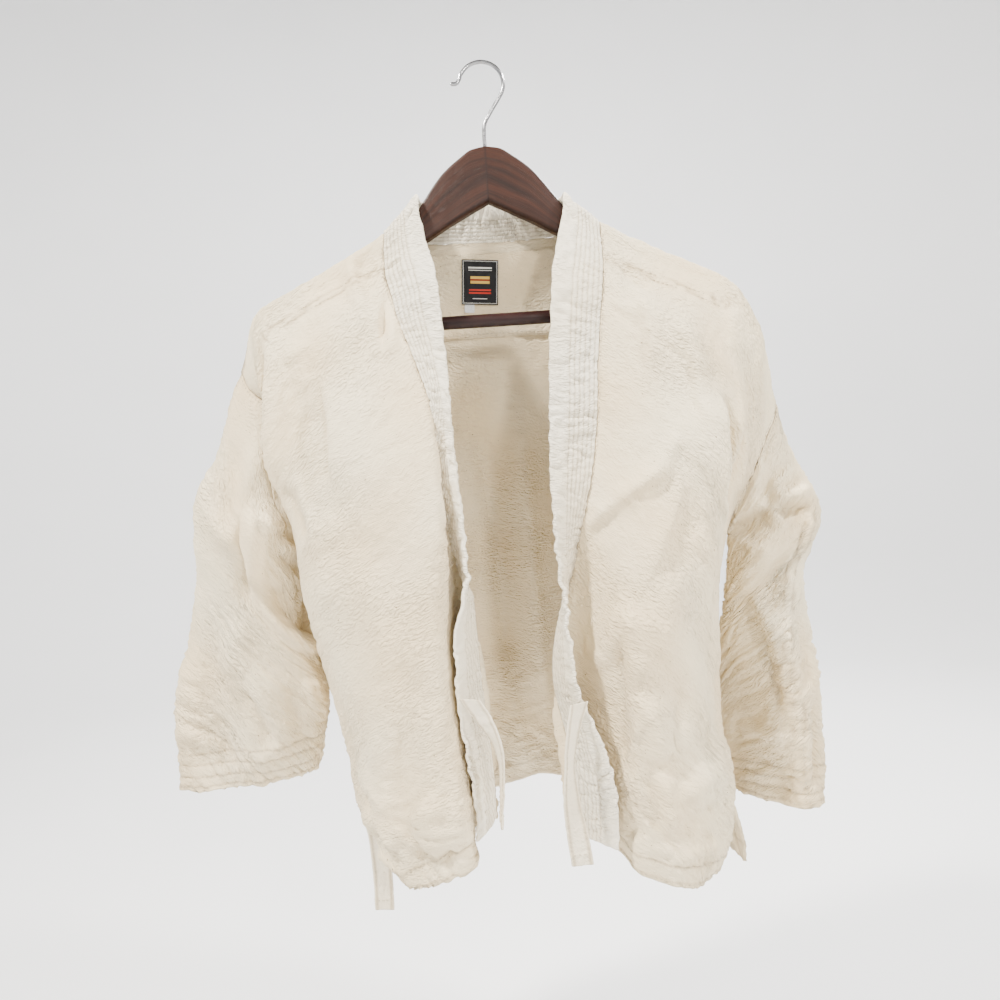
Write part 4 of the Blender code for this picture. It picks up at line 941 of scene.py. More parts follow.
def near_line(x: Array, z: Array, points: Sequence[tuple[float, float]]) -> tuple[Array, Array]:
    """Distance from a line of points and the way along it, as seen from the front.

    Args:
        x: Places across.
        z: Places in height.
        points: The line's corners.

    Returns:
        The signed distance, and the distance along the line, both in millimetres.
    """
    line, _ = spread_evenly(round_curve(np.array(points, float)), 70)
    ahead = np.gradient(line, axis=0)
    step = np.linalg.norm(ahead, axis=1)
    flat_x, flat_z = x.ravel(), z.ravel()
    k = np.argmin((flat_x[:, None] - line[:, 0]) ** 2 + (flat_z[:, None] - line[:, 1]) ** 2, axis=1)
    gap = np.stack([flat_x, flat_z], axis=1) - line[k]
    beside = (-gap[:, 0] * ahead[k, 1] + gap[:, 1] * ahead[k, 0]) / step[k]
    past = (gap * ahead[k]).sum(axis=1) / step[k]
    beyond = ((k == 0) & (past < 0)) | ((k == len(line) - 1) & (past > 0))
    beside = np.where(beyond, np.hypot(beside, past), beside)
    return beside.reshape(x.shape), (k * step[k] + past).reshape(x.shape)


class Edge(Enum):
    """The four edges of a panel's grid."""

    TOP = "top"
    BOTTOM = "bottom"
    FIRST = "first"
    LAST = "last"


@dataclass
class StitchRun:
    """A row of stitches: its points on the cloth and the cloth's normals there, in millimetres."""

    points: Array
    normals: Array


@dataclass
class ClothPanel:
    """A cut piece of cloth as a grid of points, with what is raised, thickened and sewn on it."""

    name: str
    grid: Array
    turned: bool
    wall: float = SHELL
    ring: bool = False
    lift: Array = field(init=False)
    thick: Array = field(init=False)
    seam: Array = field(init=False)
    # seam: where the cotton's colour darkens along seams and stitched rows, partly dirt and partly painted shade.
    normals: Array = field(init=False)
    flat: Array = field(init=False)
    runs: list[StitchRun] = field(default_factory=list)

    def __post_init__(self) -> None:
        """Lays the empty height, wall and seam maps over the grid."""
        self.lift = np.zeros(self.grid.shape[:2])
        self.thick = np.full(self.grid.shape[:2], self.wall)
        self.seam = np.zeros(self.grid.shape[:2])
        self.measure()

    def measure(self) -> None:
        """Works out the panel's flat coordinates along its threads, and its normals."""
        across = np.linalg.norm(np.diff(self.grid, axis=1), axis=2)
        down = np.linalg.norm(np.diff(self.grid, axis=0), axis=2)
        u = np.concatenate([np.zeros((len(across), 1)), np.cumsum(across, axis=1)], axis=1)
        v = np.concatenate([np.zeros((1, down.shape[1])), np.cumsum(down, axis=0)], axis=0)
        self.flat = np.stack([u, v], axis=2)
        self.normals = grid_normals(self.grid, self.turned, self.ring)

    @property
    def u(self) -> Array:
        """Distance across the panel, in millimetres."""
        return self.flat[..., 0]

    @property
    def v(self) -> Array:
        """Distance down the panel, in millimetres."""
        return self.flat[..., 1]

    def from_edge(self, edge: Edge) -> Array:
        """Distance of every point from one of the panel's edges, in millimetres."""
        if edge is Edge.TOP:
            return self.v
        if edge is Edge.BOTTOM:
            return self.v[-1:] - self.v
        return self.u if edge is Edge.FIRST else self.u[:, -1:] - self.u

    def raise_cloth(self) -> None:
        """Moves the cloth along its normals by the height map, and clears the map."""
        self.grid = self.grid + self.normals * self.lift[..., None]
        self.lift = np.zeros_like(self.lift)
        self.normals = grid_normals(self.grid, self.turned, self.ring)

    def crumple_all(self, height: Array | float, across: float, down: float, seed: int) -> None:
        """Adds washed crumple of a given height and grain to the height map."""
        self.lift += height * crumple(self.u / across, self.v / down, seed)

    def swell(self, height: Array | float, across: float, down: float, seed: int) -> None:
        """Adds soft hills and hollows to the height map."""
        self.lift += height * ripple(self.u / across, self.v / down, seed)

    def sew(self, distance: Array, along: Array, seed: int, pucker: float = 0.8, wave: float = 9.0) -> None:
        """Draws the cloth in along a stitched line, with small gathers square to it.

        Args:
            distance: Each point's distance from the line, in millimetres.
            along: Each point's way along the line.
            seed: Picks the gathers.
            pucker: Height of the gathers.
            wave: Their usual length.
        """
        off = np.abs(distance)
        gathers = ripple(along / wave, distance / 26.0, seed) + 0.5 * ripple(along / 4.4, distance / 14.0, seed + 3)
        self.lift += pucker * np.exp(-((off / 8.0) ** 2)) * gathers
        self.lift -= 0.7 * np.exp(-((off / 1.5) ** 2))
        self.seam = np.maximum(self.seam, np.exp(-((off / 1.1) ** 2)))

    def hem(self, edge: Edge, width: float, lines: Sequence[float], mask: Array | float, seed: int) -> None:
        """Turns a hem: a doubled strip along an edge, sewn down with rows of stitches.

        Args:
            edge: The edge that is turned.
            width: The strip's width.
            lines: Distances of the stitched rows from the edge.
            mask: Where along the edge the hem is, from 0 to 1.
            seed: Picks the gathers.
        """
        gap = self.from_edge(edge)
        along = self.u if edge in (Edge.TOP, Edge.BOTTOM) else self.v
        inside = smooth_step((width - gap) / 1.8 + 0.5) * mask
        self.thick += 0.9 * inside
        gathers = ripple(along / 7.5, gap / 30.0, seed) + 0.6 * ripple(along / 3.9, gap / 18.0, seed + 7)
        self.lift += 0.75 * gathers * np.exp(-((np.maximum(gap - width, 0) / 9.0) ** 2)) * mask
        self.thick += 0.35 * np.exp(-((gap / 2.2) ** 2)) * mask
        for line in lines:
            groove = np.exp(-(((gap - line) / 1.2) ** 2)) * mask
            self.lift -= 0.35 * groove
            self.thick -= 0.5 * groove
            self.seam = np.maximum(self.seam, 0.8 * groove)

    def read(self, rows: Array, columns: Array, inside: bool = False) -> StitchRun:
        """Points on a face of the cloth at fractional rows and columns."""
        i = np.clip(rows.astype(int), 0, self.grid.shape[0] - 2)
        j = np.clip(columns.astype(int), 0, self.grid.shape[1] - 2)
        s, t = (rows - i)[:, None], (columns - j)[:, None]

        def mix(values: Array) -> Array:
            """Blends the four grid values round each place."""
            top = values[i, j] * (1 - t) + values[i, j + 1] * t
            low = values[i + 1, j] * (1 - t) + values[i + 1, j + 1] * t
            return top * (1 - s) + low * s

        normal = mix(self.normals) * (-1 if inside else 1)
        half = mix(self.thick[..., None]) / 2
        return StitchRun(mix(self.grid) + normal * half, normal)

    def stitch_along(self, edge: Edge, distance: float, keep: slice = slice(None), both: bool = True) -> None:
        """Puts a row of stitches at a distance from an edge, on one or both faces."""
        gap = self.from_edge(edge)
        if edge in (Edge.TOP, Edge.BOTTOM):
            columns = np.arange(gap.shape[1])[keep]
            order = 1 if edge is Edge.TOP else -1
            whole = np.arange(gap.shape[0], dtype=float)
            rows = np.array([np.interp(distance, gap[::order, j], whole[::order]) for j in columns])
            places = (rows, columns.astype(float))
        else:
            rows = np.arange(gap.shape[0])[keep]
            order = 1 if edge is Edge.FIRST else -1
            whole = np.arange(gap.shape[1], dtype=float)
            columns = np.array([np.interp(distance, gap[i, ::order], whole[::order]) for i in rows])
            places = (rows.astype(float), columns)
        self.runs.append(self.read(*places))
        if both:
            self.runs.append(self.read(*places, inside=True))

    def stitch_line(self, points: Sequence[tuple[float, float]], offset: float = 0.0) -> None:
        """Puts a row of stitches along a line that is given as seen from the front."""
        line, _ = spread_evenly(round_curve(np.array(points, float)), 60)
        ahead = np.gradient(line, axis=0)
        ahead /= np.linalg.norm(ahead, axis=1, keepdims=True)
        line = line + np.stack([-ahead[:, 1], ahead[:, 0]], axis=1) * offset
        facing = self.normals[..., 1] < 0.1
        flat = np.where(facing[..., None], self.grid, 1e6).reshape(-1, 3)
        rows, columns = [], []
        for x, z in line:
            nearest = int(np.argmin((flat[:, 0] - x) ** 2 + (flat[:, 2] - z) ** 2))
            rows.append(nearest // self.grid.shape[1])
            columns.append(nearest % self.grid.shape[1])
        run = self.read(np.array(rows, float), np.array(columns, float))
        gap = line - run.points[:, [0, 2]]
        run.points[:, 0] += gap[:, 0]
        run.points[:, 2] += gap[:, 1]
        smooth = np.ones(5) / 5
        padded = np.pad(run.points[:, 1], 2, mode="edge")
        run.points[:, 1] = np.convolve(padded, smooth, mode="valid") - 0.1
        self.runs.append(run)


def mitre(panels: Sequence[ClothPanel]) -> None:
    """Makes the normals agree where panels meet, so that their walls stay closed along the seams."""
    spots, normals, owners = [], [], []
    for number, panel in enumerate(panels):
        for border in border_slices(panel.ring):
            spots.append(panel.grid[border].reshape(-1, 3))
            normals.append(panel.normals[border].reshape(-1, 3))
            owners.append(np.full(len(spots[-1]), number))
    spots, normals, owners = np.concatenate(spots), np.concatenate(normals), np.concatenate(owners)
    tree = KDTree(len(spots))
    for k, spot in enumerate(spots):
        tree.insert(spot, k)
    tree.balance()
    for number, panel in enumerate(panels):
        for border in border_slices(panel.ring):
            own = panel.normals[border]
            mixed = own.copy()
            for k, spot in enumerate(panel.grid[border]):
                found = [n for _, n, _ in tree.find_range(spot, 2.2) if owners[n] != number]
                if not found:
                    continue
                total = own[k] + normals[found].mean(axis=0)
                unit = total / max(np.linalg.norm(total), 1e-6)
                mixed[k] = unit / max(float(unit @ own[k]), 0.6)
            panel.normals[border] = mixed


def border_slices(ring: bool) -> list[tuple]:
    """The index of each border of a grid. A tube has only its two ends."""
    ends = [(0, slice(None)), (-1, slice(None))]
    return ends if ring else ends + [(slice(None), 0), (slice(None), -1)]


def draw_in(panel: ClothPanel) -> Array:
    """The panel's points with each border moved in by half the seam gap."""
    moved = panel.grid.copy()
    for border in border_slices(panel.ring):
        inner = tuple({0: 1, -1: -2}.get(k, k) if isinstance(k, int) else k for k in border)
        step = panel.grid[inner] - panel.grid[border]
        step /= np.maximum(np.linalg.norm(step, axis=1, keepdims=True), 1e-9)
        moved[border] += step * SEAM_GAP / 2
    return moved


def link_mesh(name: str, vertices: Array, faces: Sequence, finish: bpy.types.Material) -> bpy.types.Object:
    """Adds a smooth mesh piece that rides on the jacket.

    Args:
        name: The piece's name.
        vertices: Its points in millimetres.
        faces: Its faces as vertex numbers.
        finish: Its material.

    Returns:
        The new object.
    """
    mesh = bpy.data.meshes.new(name)
    mesh.from_pydata((np.asarray(vertices) * MM).tolist(), [], faces)
    mesh.materials.append(finish)
    mesh.shade_smooth()
    piece = bpy.data.objects.new(name, mesh)
    bpy.context.scene.collection.objects.link(piece)
    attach(piece, BODY)
    LOG.info("%s: %d faces", name, len(mesh.polygons))
    return piece


def add_shell(panel: ClothPanel, finish: bpy.types.Material) -> bpy.types.Object:
    """Closes a panel into a thin shell with flat coordinates and seam marks for its material.

    Args:
        panel: The finished panel.
        finish: Its material.

    Returns:
        The new object.
    """
    middle = draw_in(panel)
    half = panel.thick[..., None] / 2
    faces_of = [middle + panel.normals * half, middle - panel.normals * half]
    rows, columns = panel.grid.shape[:2]
    wrap = columns - 1 if panel.ring else columns
    index = np.arange(rows * columns).reshape(rows, columns)
    number = (index // columns) * wrap + (index % columns) % wrap
    quads = np.stack([index[:-1, :-1], index[:-1, 1:], index[1:, 1:], index[1:, :-1]], axis=-1).reshape(-1, 4)
    total = rows * wrap
    faces = [number.ravel()[quads], number.ravel()[quads[:, ::-1]] + total]
    places = [quads, quads[:, ::-1]]
    loops = [(index[0, 1:], index[0, :-1]), (index[-1, :-1], index[-1, 1:])]
    if not panel.ring:
        loops += [(index[:-1, 0], index[1:, 0]), (index[1:, -1], index[:-1, -1])]
    for a, b in loops:
        flat_a, flat_b = number.ravel()[a], number.ravel()[b]
        faces.append(np.stack([flat_a, flat_b, flat_b + total, flat_a + total], axis=1))
        places.append(np.stack([a, b, b, a], axis=1))
    faces, places = np.concatenate(faces), np.concatenate(places)
    if not panel.turned:
        faces, places = faces[:, ::-1], places[:, ::-1]
    vertices = np.concatenate([layer[:, :wrap].reshape(-1, 3) for layer in faces_of])
    piece = link_mesh(panel.name, vertices, faces.tolist(), finish)
    sheet = piece.data.uv_layers.new(name="flat")
    sheet.uv.foreach_set("vector", (panel.flat.reshape(-1, 2)[places.ravel()] * MM).astype(np.float32).ravel())
    marks = piece.data.attributes.new("seam", "FLOAT", "POINT")
    marks.data.foreach_set("value", np.tile(panel.seam[:, :wrap].ravel(), 2).astype(np.float32))
    return piece


def add_stitches(name: str, runs: Sequence[StitchRun], finish: bpy.types.Material) -> bpy.types.Object:
    """Lays short raised stitches along rows.

    Args:
        name: The piece's name.
        runs: The rows.
        finish: The thread's material.

    Returns:
        One object that holds all the stitches.
    """
    middles, aheads, ups = [], [], []
    for run in runs:
        travel = np.concatenate([[0.0], np.cumsum(np.linalg.norm(np.diff(run.points, axis=0), axis=1))])
        places = np.arange(STITCH_PITCH, travel[-1] - STITCH_PITCH, STITCH_PITCH)
        if len(places) < 2:
            continue
        point = np.stack([np.interp(places, travel, run.points[:, k]) for k in range(3)], axis=1)
        up = np.stack([np.interp(places, travel, run.normals[:, k]) for k in range(3)], axis=1)
        ahead = np.gradient(point, axis=0)
        middles.append(point)
        aheads.append(ahead / np.maximum(np.linalg.norm(ahead, axis=1, keepdims=True), 1e-9))
        ups.append(up / np.maximum(np.linalg.norm(up, axis=1, keepdims=True), 1e-9))
    middle, ahead, up = np.concatenate(middles), np.concatenate(aheads), np.concatenate(ups)
    side = np.cross(ahead, up)
    corners = []
    for along, radius, height in ((-0.5, 0.45, -0.15), (-0.2, 1.0, 0.12), (0.2, 1.0, 0.12), (0.5, 0.45, -0.15)):
        centre = middle + ahead * along * STITCH_LENGTH + up * height
        for angle in (0.0, 0.5, 1.0, 1.5):
            turn = np.pi * angle
            corners.append(centre + (side * np.cos(turn) + up * np.sin(turn)) * radius * STITCH_RADIUS)
    vertices = np.stack(corners, axis=1).reshape(-1, 3)
    pattern = [[0, 1, 2, 3], [15, 14, 13, 12]]
    for ring in range(3):
        for k in range(4):
            a, b = ring * 4 + k, ring * 4 + (k + 1) % 4
            pattern.append([b, a, a + 4, b + 4])
    starts = (np.arange(len(middle)) * 16)[:, None, None]
    return link_mesh(name, vertices, (np.array(pattern)[None] + starts).reshape(-1, 4).tolist(), finish)


class NodeSheet:
    """A node tree with short ways to add nodes and to join them."""

    def __init__(self, tree: bpy.types.NodeTree) -> None:
        """Holds the tree."""
        self.tree = tree

    def add(self, kind: str, values: dict | None = None, **settings: object) -> bpy.types.Node:
        """Adds a node.

        Args:
            kind: The node's type, without ShaderNode in front.
            values: What goes into its sockets, as numbers or as other sockets.
            settings: Its other settings.

        Returns:
            The node.
        """
        node = self.tree.nodes.new("ShaderNode" + kind)
        for name, setting in settings.items():
            setattr(node, name, setting)
        for name, value in (values or {}).items():
            socket = node.inputs[name]
            if isinstance(value, bpy.types.NodeSocket):
                self.tree.links.new(value, socket)
            else:
                socket.default_value = value
        return node

    def math(self, operation: str, first: object, second: object = 0.0, clamp: bool = False) -> object:
        """The result socket of a Math node."""
        node = self.add("Math", {0: first, 1: second}, operation=operation, use_clamp=clamp)
        return node.outputs[0]

    def scaled(self, vector: object, x: float, y: float, z: float = 1.0) -> object:
        """A vector with each part multiplied."""
        node = self.add("VectorMath", {0: vector, 1: (x, y, z)}, operation="MULTIPLY")
        return node.outputs[0]

    def noise(self, vector: object, scale: float, detail: float = 2.0, rough: float = 0.5) -> object:
        """The value socket of a noise texture."""
        values = {"Vector": vector, "Scale": scale, "Detail": detail, "Roughness": rough}
        return self.add("TexNoise", values).outputs["Fac"]

    def span(self, value: object, low: float, high: float, to_low: float = 0.0, to_high: float = 1.0) -> object:
        """A value stretched from one range to another, and held inside it."""
        values = {"Value": value, "From Min": low, "From Max": high, "To Min": to_low, "To Max": to_high}
        return self.add("MapRange", values).outputs["Result"]

    def blend(self, share: object, first: object, second: object, how: str = "MIX") -> object:
        """Two colours mixed by a share."""
        node = self.add("Mix", data_type="RGBA", blend_type=how)
        for index, value in ((0, share), (6, first), (7, second)):
            if isinstance(value, bpy.types.NodeSocket):
                self.tree.links.new(value, node.inputs[index])
            else:
                node.inputs[index].default_value = value
        return node.outputs[2]


def new_group(name: str, inputs: dict[str, tuple[str, object]], outputs: dict[str, str]) -> tuple:
    """Starts a shader node group.

    Args:
        name: The group's name.
        inputs: For each input, its socket type and first value.
        outputs: For each output, its socket type.

    Returns:
        The group, its sheet, its input node and its output node.
    """
    group = bpy.data.node_groups.new(name, "ShaderNodeTree")
    for label, (kind, value) in inputs.items():
        socket = group.interface.new_socket(name=label, in_out="INPUT", socket_type="NodeSocket" + kind)
        if value is not None:
            socket.default_value = value
    for label, kind in outputs.items():
        group.interface.new_socket(name=label, in_out="OUTPUT", socket_type="NodeSocket" + kind)
    start = group.nodes.new("NodeGroupInput")
    end = group.nodes.new("NodeGroupOutput")
    return group, NodeSheet(group), start, end


def cotton_colour_group() -> bpy.types.NodeTree:
    """Unbleached cotton: uneven warmth, mottled threads and dark seed flecks."""
    group, sheet, start, end = new_group(
        "cotton_colour",
        {
            "Vector": ("Vector", None), "Pale": ("Color", (0.8, 0.76, 0.66, 1)),
            "Warm": ("Color", (0.75, 0.67, 0.52, 1)), "Flecks": ("Float", 1.0),
        },
        {"Color": "Color"},
    )
    place = start.outputs["Vector"]
    broad = sheet.span(sheet.noise(place, 9.0, 1.0), 0.34, 0.66)
    mottled = sheet.span(sheet.noise(sheet.scaled(place, 90.0, 260.0), 1.0, 1.0, 0.6), 0.3, 0.7)
    tone = sheet.blend(broad, start.outputs["Pale"], start.outputs["Warm"])
    shade = sheet.span(mottled, 0.0, 1.0, 0.955, 1.0)
    tone = sheet.blend(1.0, tone, sheet.add("CombineColor", {0: shade, 1: shade, 2: shade}).outputs[0], "MULTIPLY")
    for scale, size in ((105.0, 0.055), (230.0, 0.075)):
        cells = sheet.add("TexVoronoi", {"Vector": sheet.scaled(place, 0.7, 1.0), "Scale": scale})
        chosen = sheet.math("GREATER_THAN", sheet.add("SeparateColor", {0: cells.outputs["Color"]}).outputs[0], 0.62)
        spot = sheet.math("LESS_THAN", cells.outputs["Distance"], size)
        mask = sheet.math("MULTIPLY", sheet.math("MULTIPLY", chosen, spot), start.outputs["Flecks"], clamp=True)
        tone = sheet.blend(mask, tone, (0.30, 0.21, 0.115, 1))
    sheet.tree.links.new(tone, end.inputs["Color"])
    return group


def crinkle_group() -> bpy.types.NodeTree:
    """The fine crinkle that washing leaves in cotton, longer across than down. Heights are in millimetres."""
    group, sheet, start, end = new_group(
        "washed_crinkle",
        {"Vector": ("Vector", None), "Amount": ("Float", 0.5), "Across": ("Float", 70.0), "Down": ("Float", 190.0)},
        {"Height": "Float"},
    )
    parts = sheet.add("SeparateXYZ", {0: start.outputs["Vector"]}).outputs
    x = sheet.math("MULTIPLY", parts[0], start.outputs["Across"])
    y = sheet.math("MULTIPLY", parts[1], start.outputs["Down"])
    place = sheet.add("CombineXYZ", {0: x, 1: y}).outputs[0]
    first = sheet.noise(place, 1.0, 1.5, 0.55)
    folded = sheet.math("ABSOLUTE", sheet.math("SUBTRACT", first, 0.5))
    ridge = sheet.math("SUBTRACT", 1.0, sheet.math("MULTIPLY", folded, 5.0), clamp=True)
    fine = sheet.noise(place, 3.4, 0.0, 0.6)
    patch = sheet.span(sheet.noise(start.outputs["Vector"], 14.0, 0.0), 0.38, 0.62, 0.35, 1.0)
    both = sheet.math("ADD", ridge, sheet.math("MULTIPLY", fine, 0.8))
    height = sheet.math("MULTIPLY", sheet.math("MULTIPLY", both, patch), start.outputs["Amount"])
    sheet.tree.links.new(height, end.inputs["Height"])
    return group


def weave_group() -> bpy.types.NodeTree:
    """A plain weave of round threads. Pitch is threads to the metre, and heights are in millimetres."""
    group, sheet, start, end = new_group(
        "plain_weave",
        {"Vector": ("Vector", None), "Threads": ("Float", 1100.0), "Depth": ("Float", 0.08)},
        {"Height": "Float"},
    )
    parts = sheet.add("SeparateXYZ", {0: start.outputs["Vector"]}).outputs
    turn = sheet.math("MULTIPLY", start.outputs["Threads"], math.pi)
    warp = sheet.math("SINE", sheet.math("MULTIPLY", parts[0], turn))
    weft = sheet.math("SINE", sheet.math("MULTIPLY", parts[1], turn))
    over = sheet.math("MULTIPLY", warp, weft)
    slubs = sheet.noise(sheet.scaled(start.outputs["Vector"], 500.0, 90.0), 1.0, 0.0)
    height = sheet.math("ADD", sheet.math("MULTIPLY", over, 0.6), slubs)
    sheet.tree.links.new(sheet.math("MULTIPLY", height, start.outputs["Depth"]), end.inputs["Height"])
    return group


def grain_group() -> bpy.types.NodeTree:
    """Open-grained hardwood: long bands of tone and short dark pores along the first coordinate."""
    group, sheet, start, end = new_group(
        "wood_grain",
        {
            "Vector": ("Vector", None), "Light": ("Color", (0.15, 0.06, 0.03, 1)),
            "Dark": ("Color", (0.05, 0.018, 0.01, 1)), "Pores": ("Float", 0.8),
        },
        {"Color": "Color", "Height": "Float"},
    )
    place = start.outputs["Vector"]
    wander = sheet.noise(sheet.scaled(place, 14.0, 30.0), 1.0, 2.0)
    parts = sheet.add("SeparateXYZ", {0: place}).outputs
    bent = sheet.math("ADD", parts[1], sheet.math("MULTIPLY", wander, 0.012))
    along = sheet.add("CombineXYZ", {0: sheet.math("MULTIPLY", parts[0], 6.0), 1: sheet.math("MULTIPLY", bent, 150.0)})
    bands = sheet.span(sheet.noise(along.outputs[0], 1.0, 4.0, 0.6), 0.32, 0.68)
    pores_at = sheet.add("CombineXYZ", {0: sheet.math("MULTIPLY", parts[0], 70.0), 1: sheet.math("MULTIPLY", bent, 1300.0)})
    pores = sheet.span(sheet.noise(pores_at.outputs[0], 1.0, 2.0, 0.6), 0.56, 0.66)
    pores = sheet.math("MULTIPLY", pores, start.outputs["Pores"])
    tone = sheet.blend(bands, start.outputs["Dark"], start.outputs["Light"])
    tone = sheet.blend(sheet.math("MULTIPLY", pores, 0.65), tone, (0.018, 0.007, 0.004, 1))
    sheet.tree.links.new(tone, end.inputs["Color"])
    sheet.tree.links.new(sheet.math("SUBTRACT", 1.0, pores), end.inputs["Height"])
    return group


def group_node(sheet: NodeSheet, maker: Callable[[], bpy.types.NodeTree], name: str, values: dict) -> bpy.types.Node:
    """Places a shared group in a material, and makes the group the first time.

    Args:
        sheet: The material's nodes.
        maker: Builds the group.
        name: The group's name.
        values: What goes into its inputs.

    Returns:
        The group's node.
    """
    tree = bpy.data.node_groups.get(name) or maker()
    return sheet.add("Group", None, node_tree=tree) if not values else fill_group(sheet, tree, values)


def fill_group(sheet: NodeSheet, tree: bpy.types.NodeTree, values: dict) -> bpy.types.Node:
    """Adds a group node and sets its inputs."""
    node = sheet.add("Group", None, node_tree=tree)
    for name, value in values.items():
        if isinstance(value, bpy.types.NodeSocket):
            sheet.tree.links.new(value, node.inputs[name])
        else:
            node.inputs[name].default_value = value
    return node


def new_material(name: str, roughness: float, metallic: float = 0.0) -> tuple[bpy.types.Material, NodeSheet, bpy.types.Node]:
    """Starts a material with a Principled shader.

    Args:
        name: The material's name.
        roughness: The shader's roughness.
        metallic: The shader's metallic value.

    Returns:
        The material, its sheet and the shader.
    """
    made = bpy.data.materials.new(name)
    made.use_nodes = True
    shader = made.node_tree.nodes["Principled BSDF"]
    shader.inputs["Roughness"].default_value = roughness
    shader.inputs["Metallic"].default_value = metallic
    return made, NodeSheet(made.node_tree), shader


@dataclass(frozen=True)
class CottonFinish:
    """Cotton cloth: its colours, its flecks, and the depth of its crinkle and weave in millimetres."""

    name: str
    pale: tuple[float, float, float]
    warm: tuple[float, float, float]
    flecks: float
    crinkle: float
    across: float
    down: float
    threads: float
    depth: float

    def make(self) -> bpy.types.Material:
        """Builds the material."""
        made, sheet, shader = new_material(self.name, 0.88)
        shader.inputs["Sheen Weight"].default_value = 0.12
        shader.inputs["Sheen Roughness"].default_value = 0.5
        shader.inputs["Specular IOR Level"].default_value = 0.25
        place = sheet.add("UVMap", uv_map="flat").outputs["UV"]
        colour = group_node(sheet, cotton_colour_group, "cotton_colour", {
            "Vector": place, "Pale": (*self.pale, 1), "Warm": (*self.warm, 1), "Flecks": self.flecks,
        }).outputs["Color"]
        # Seam marks: the colour darkens along seams and stitched grooves, partly dirt and partly painted shade in the
        # grooves.
        seam = sheet.add("Attribute", attribute_name="seam").outputs["Fac"]
        dirt_and_shade = sheet.math("MULTIPLY", seam, 0.6)
        colour = sheet.blend(dirt_and_shade, colour, (0.36, 0.26, 0.14, 1))
        crinkle = group_node(sheet, crinkle_group, "washed_crinkle", {
            "Vector": place, "Amount": self.crinkle, "Across": self.across, "Down": self.down,
        }).outputs["Height"]
        weave = group_node(sheet, weave_group, "plain_weave", {
            "Vector": place, "Threads": self.threads, "Depth": self.depth,
        }).outputs["Height"]
        height = sheet.math("ADD", crinkle, weave)
        bump = sheet.add("Bump", {"Height": height, "Distance": MM, "Strength": 1.0})
        made.node_tree.links.new(colour, shader.inputs["Base Color"])
        made.node_tree.links.new(bump.outputs["Normal"], shader.inputs["Normal"])
        return made


@dataclass(frozen=True)
class ThreadFinish:
    """Sewing thread."""

    name: str
    colour: tuple[float, float, float]

    def make(self) -> bpy.types.Material:
        """Builds the material."""
        made, sheet, shader = new_material(self.name, 0.7)
        place = sheet.add("TexCoord").outputs["Object"]
        twist = sheet.noise(place, 900.0, 2.0)
        shade = sheet.span(twist, 0.3, 0.7)
        dark = tuple(c * 0.78 for c in self.colour)
        colour = sheet.blend(shade, (*dark, 1), (*self.colour, 1))
        bump = sheet.add("Bump", {"Height": twist, "Distance": 0.1 * MM, "Strength": 1.0})
        made.node_tree.links.new(colour, shader.inputs["Base Color"])
        made.node_tree.links.new(bump.outputs["Normal"], shader.inputs["Normal"])
        return made


@dataclass(frozen=True)
class WoodFinish:
    """Lacquered hardwood."""

    name: str
    light: tuple[float, float, float]
    dark: tuple[float, float, float]
    pores: float
    roughness: float
    coat: float

    def make(self) -> bpy.types.Material:
        """Builds the material."""
        made, sheet, shader = new_material(self.name, self.roughness)
        shader.inputs["Coat Weight"].default_value = self.coat
        shader.inputs["Coat Roughness"].default_value = 0.15
        shader.inputs["Specular IOR Level"].default_value = 0.22
        place = sheet.add("UVMap", uv_map="flat").outputs["UV"]
        grain = group_node(sheet, grain_group, "wood_grain", {
            "Vector": place, "Light": (*self.light, 1), "Dark": (*self.dark, 1), "Pores": self.pores,
        })
        seam = sheet.add("Attribute", attribute_name="seam").outputs["Fac"]
        colour = sheet.blend(sheet.math("MULTIPLY", seam, 0.8), grain.outputs["Color"], (0.01, 0.004, 0.003, 1))
        bump = sheet.add("Bump", {"Height": grain.outputs["Height"], "Distance": 0.06 * MM, "Strength": 1.0})
        made.node_tree.links.new(colour, shader.inputs["Base Color"])
        made.node_tree.links.new(bump.outputs["Normal"], shader.inputs["Normal"])
        return made


@dataclass(frozen=True)
class WireFinish:
    """Plated steel wire with faint rubbing marks."""

    name: str
    colour: tuple[float, float, float]

    def make(self) -> bpy.types.Material:
        """Builds the material."""
        made, sheet, shader = new_material(self.name, 0.2, 1.0)
        place = sheet.add("TexCoord").outputs["Object"]
        rubbed = sheet.noise(place, 240.0, 3.0)
        colour = sheet.blend(sheet.span(rubbed, 0.35, 0.7), (*self.colour, 1), tuple(c * 0.8 for c in self.colour) + (1,))
        made.node_tree.links.new(colour, shader.inputs["Base Color"])
        made.node_tree.links.new(sheet.span(rubbed, 0.3, 0.7, 0.14, 0.32), shader.inputs["Roughness"])
        return made


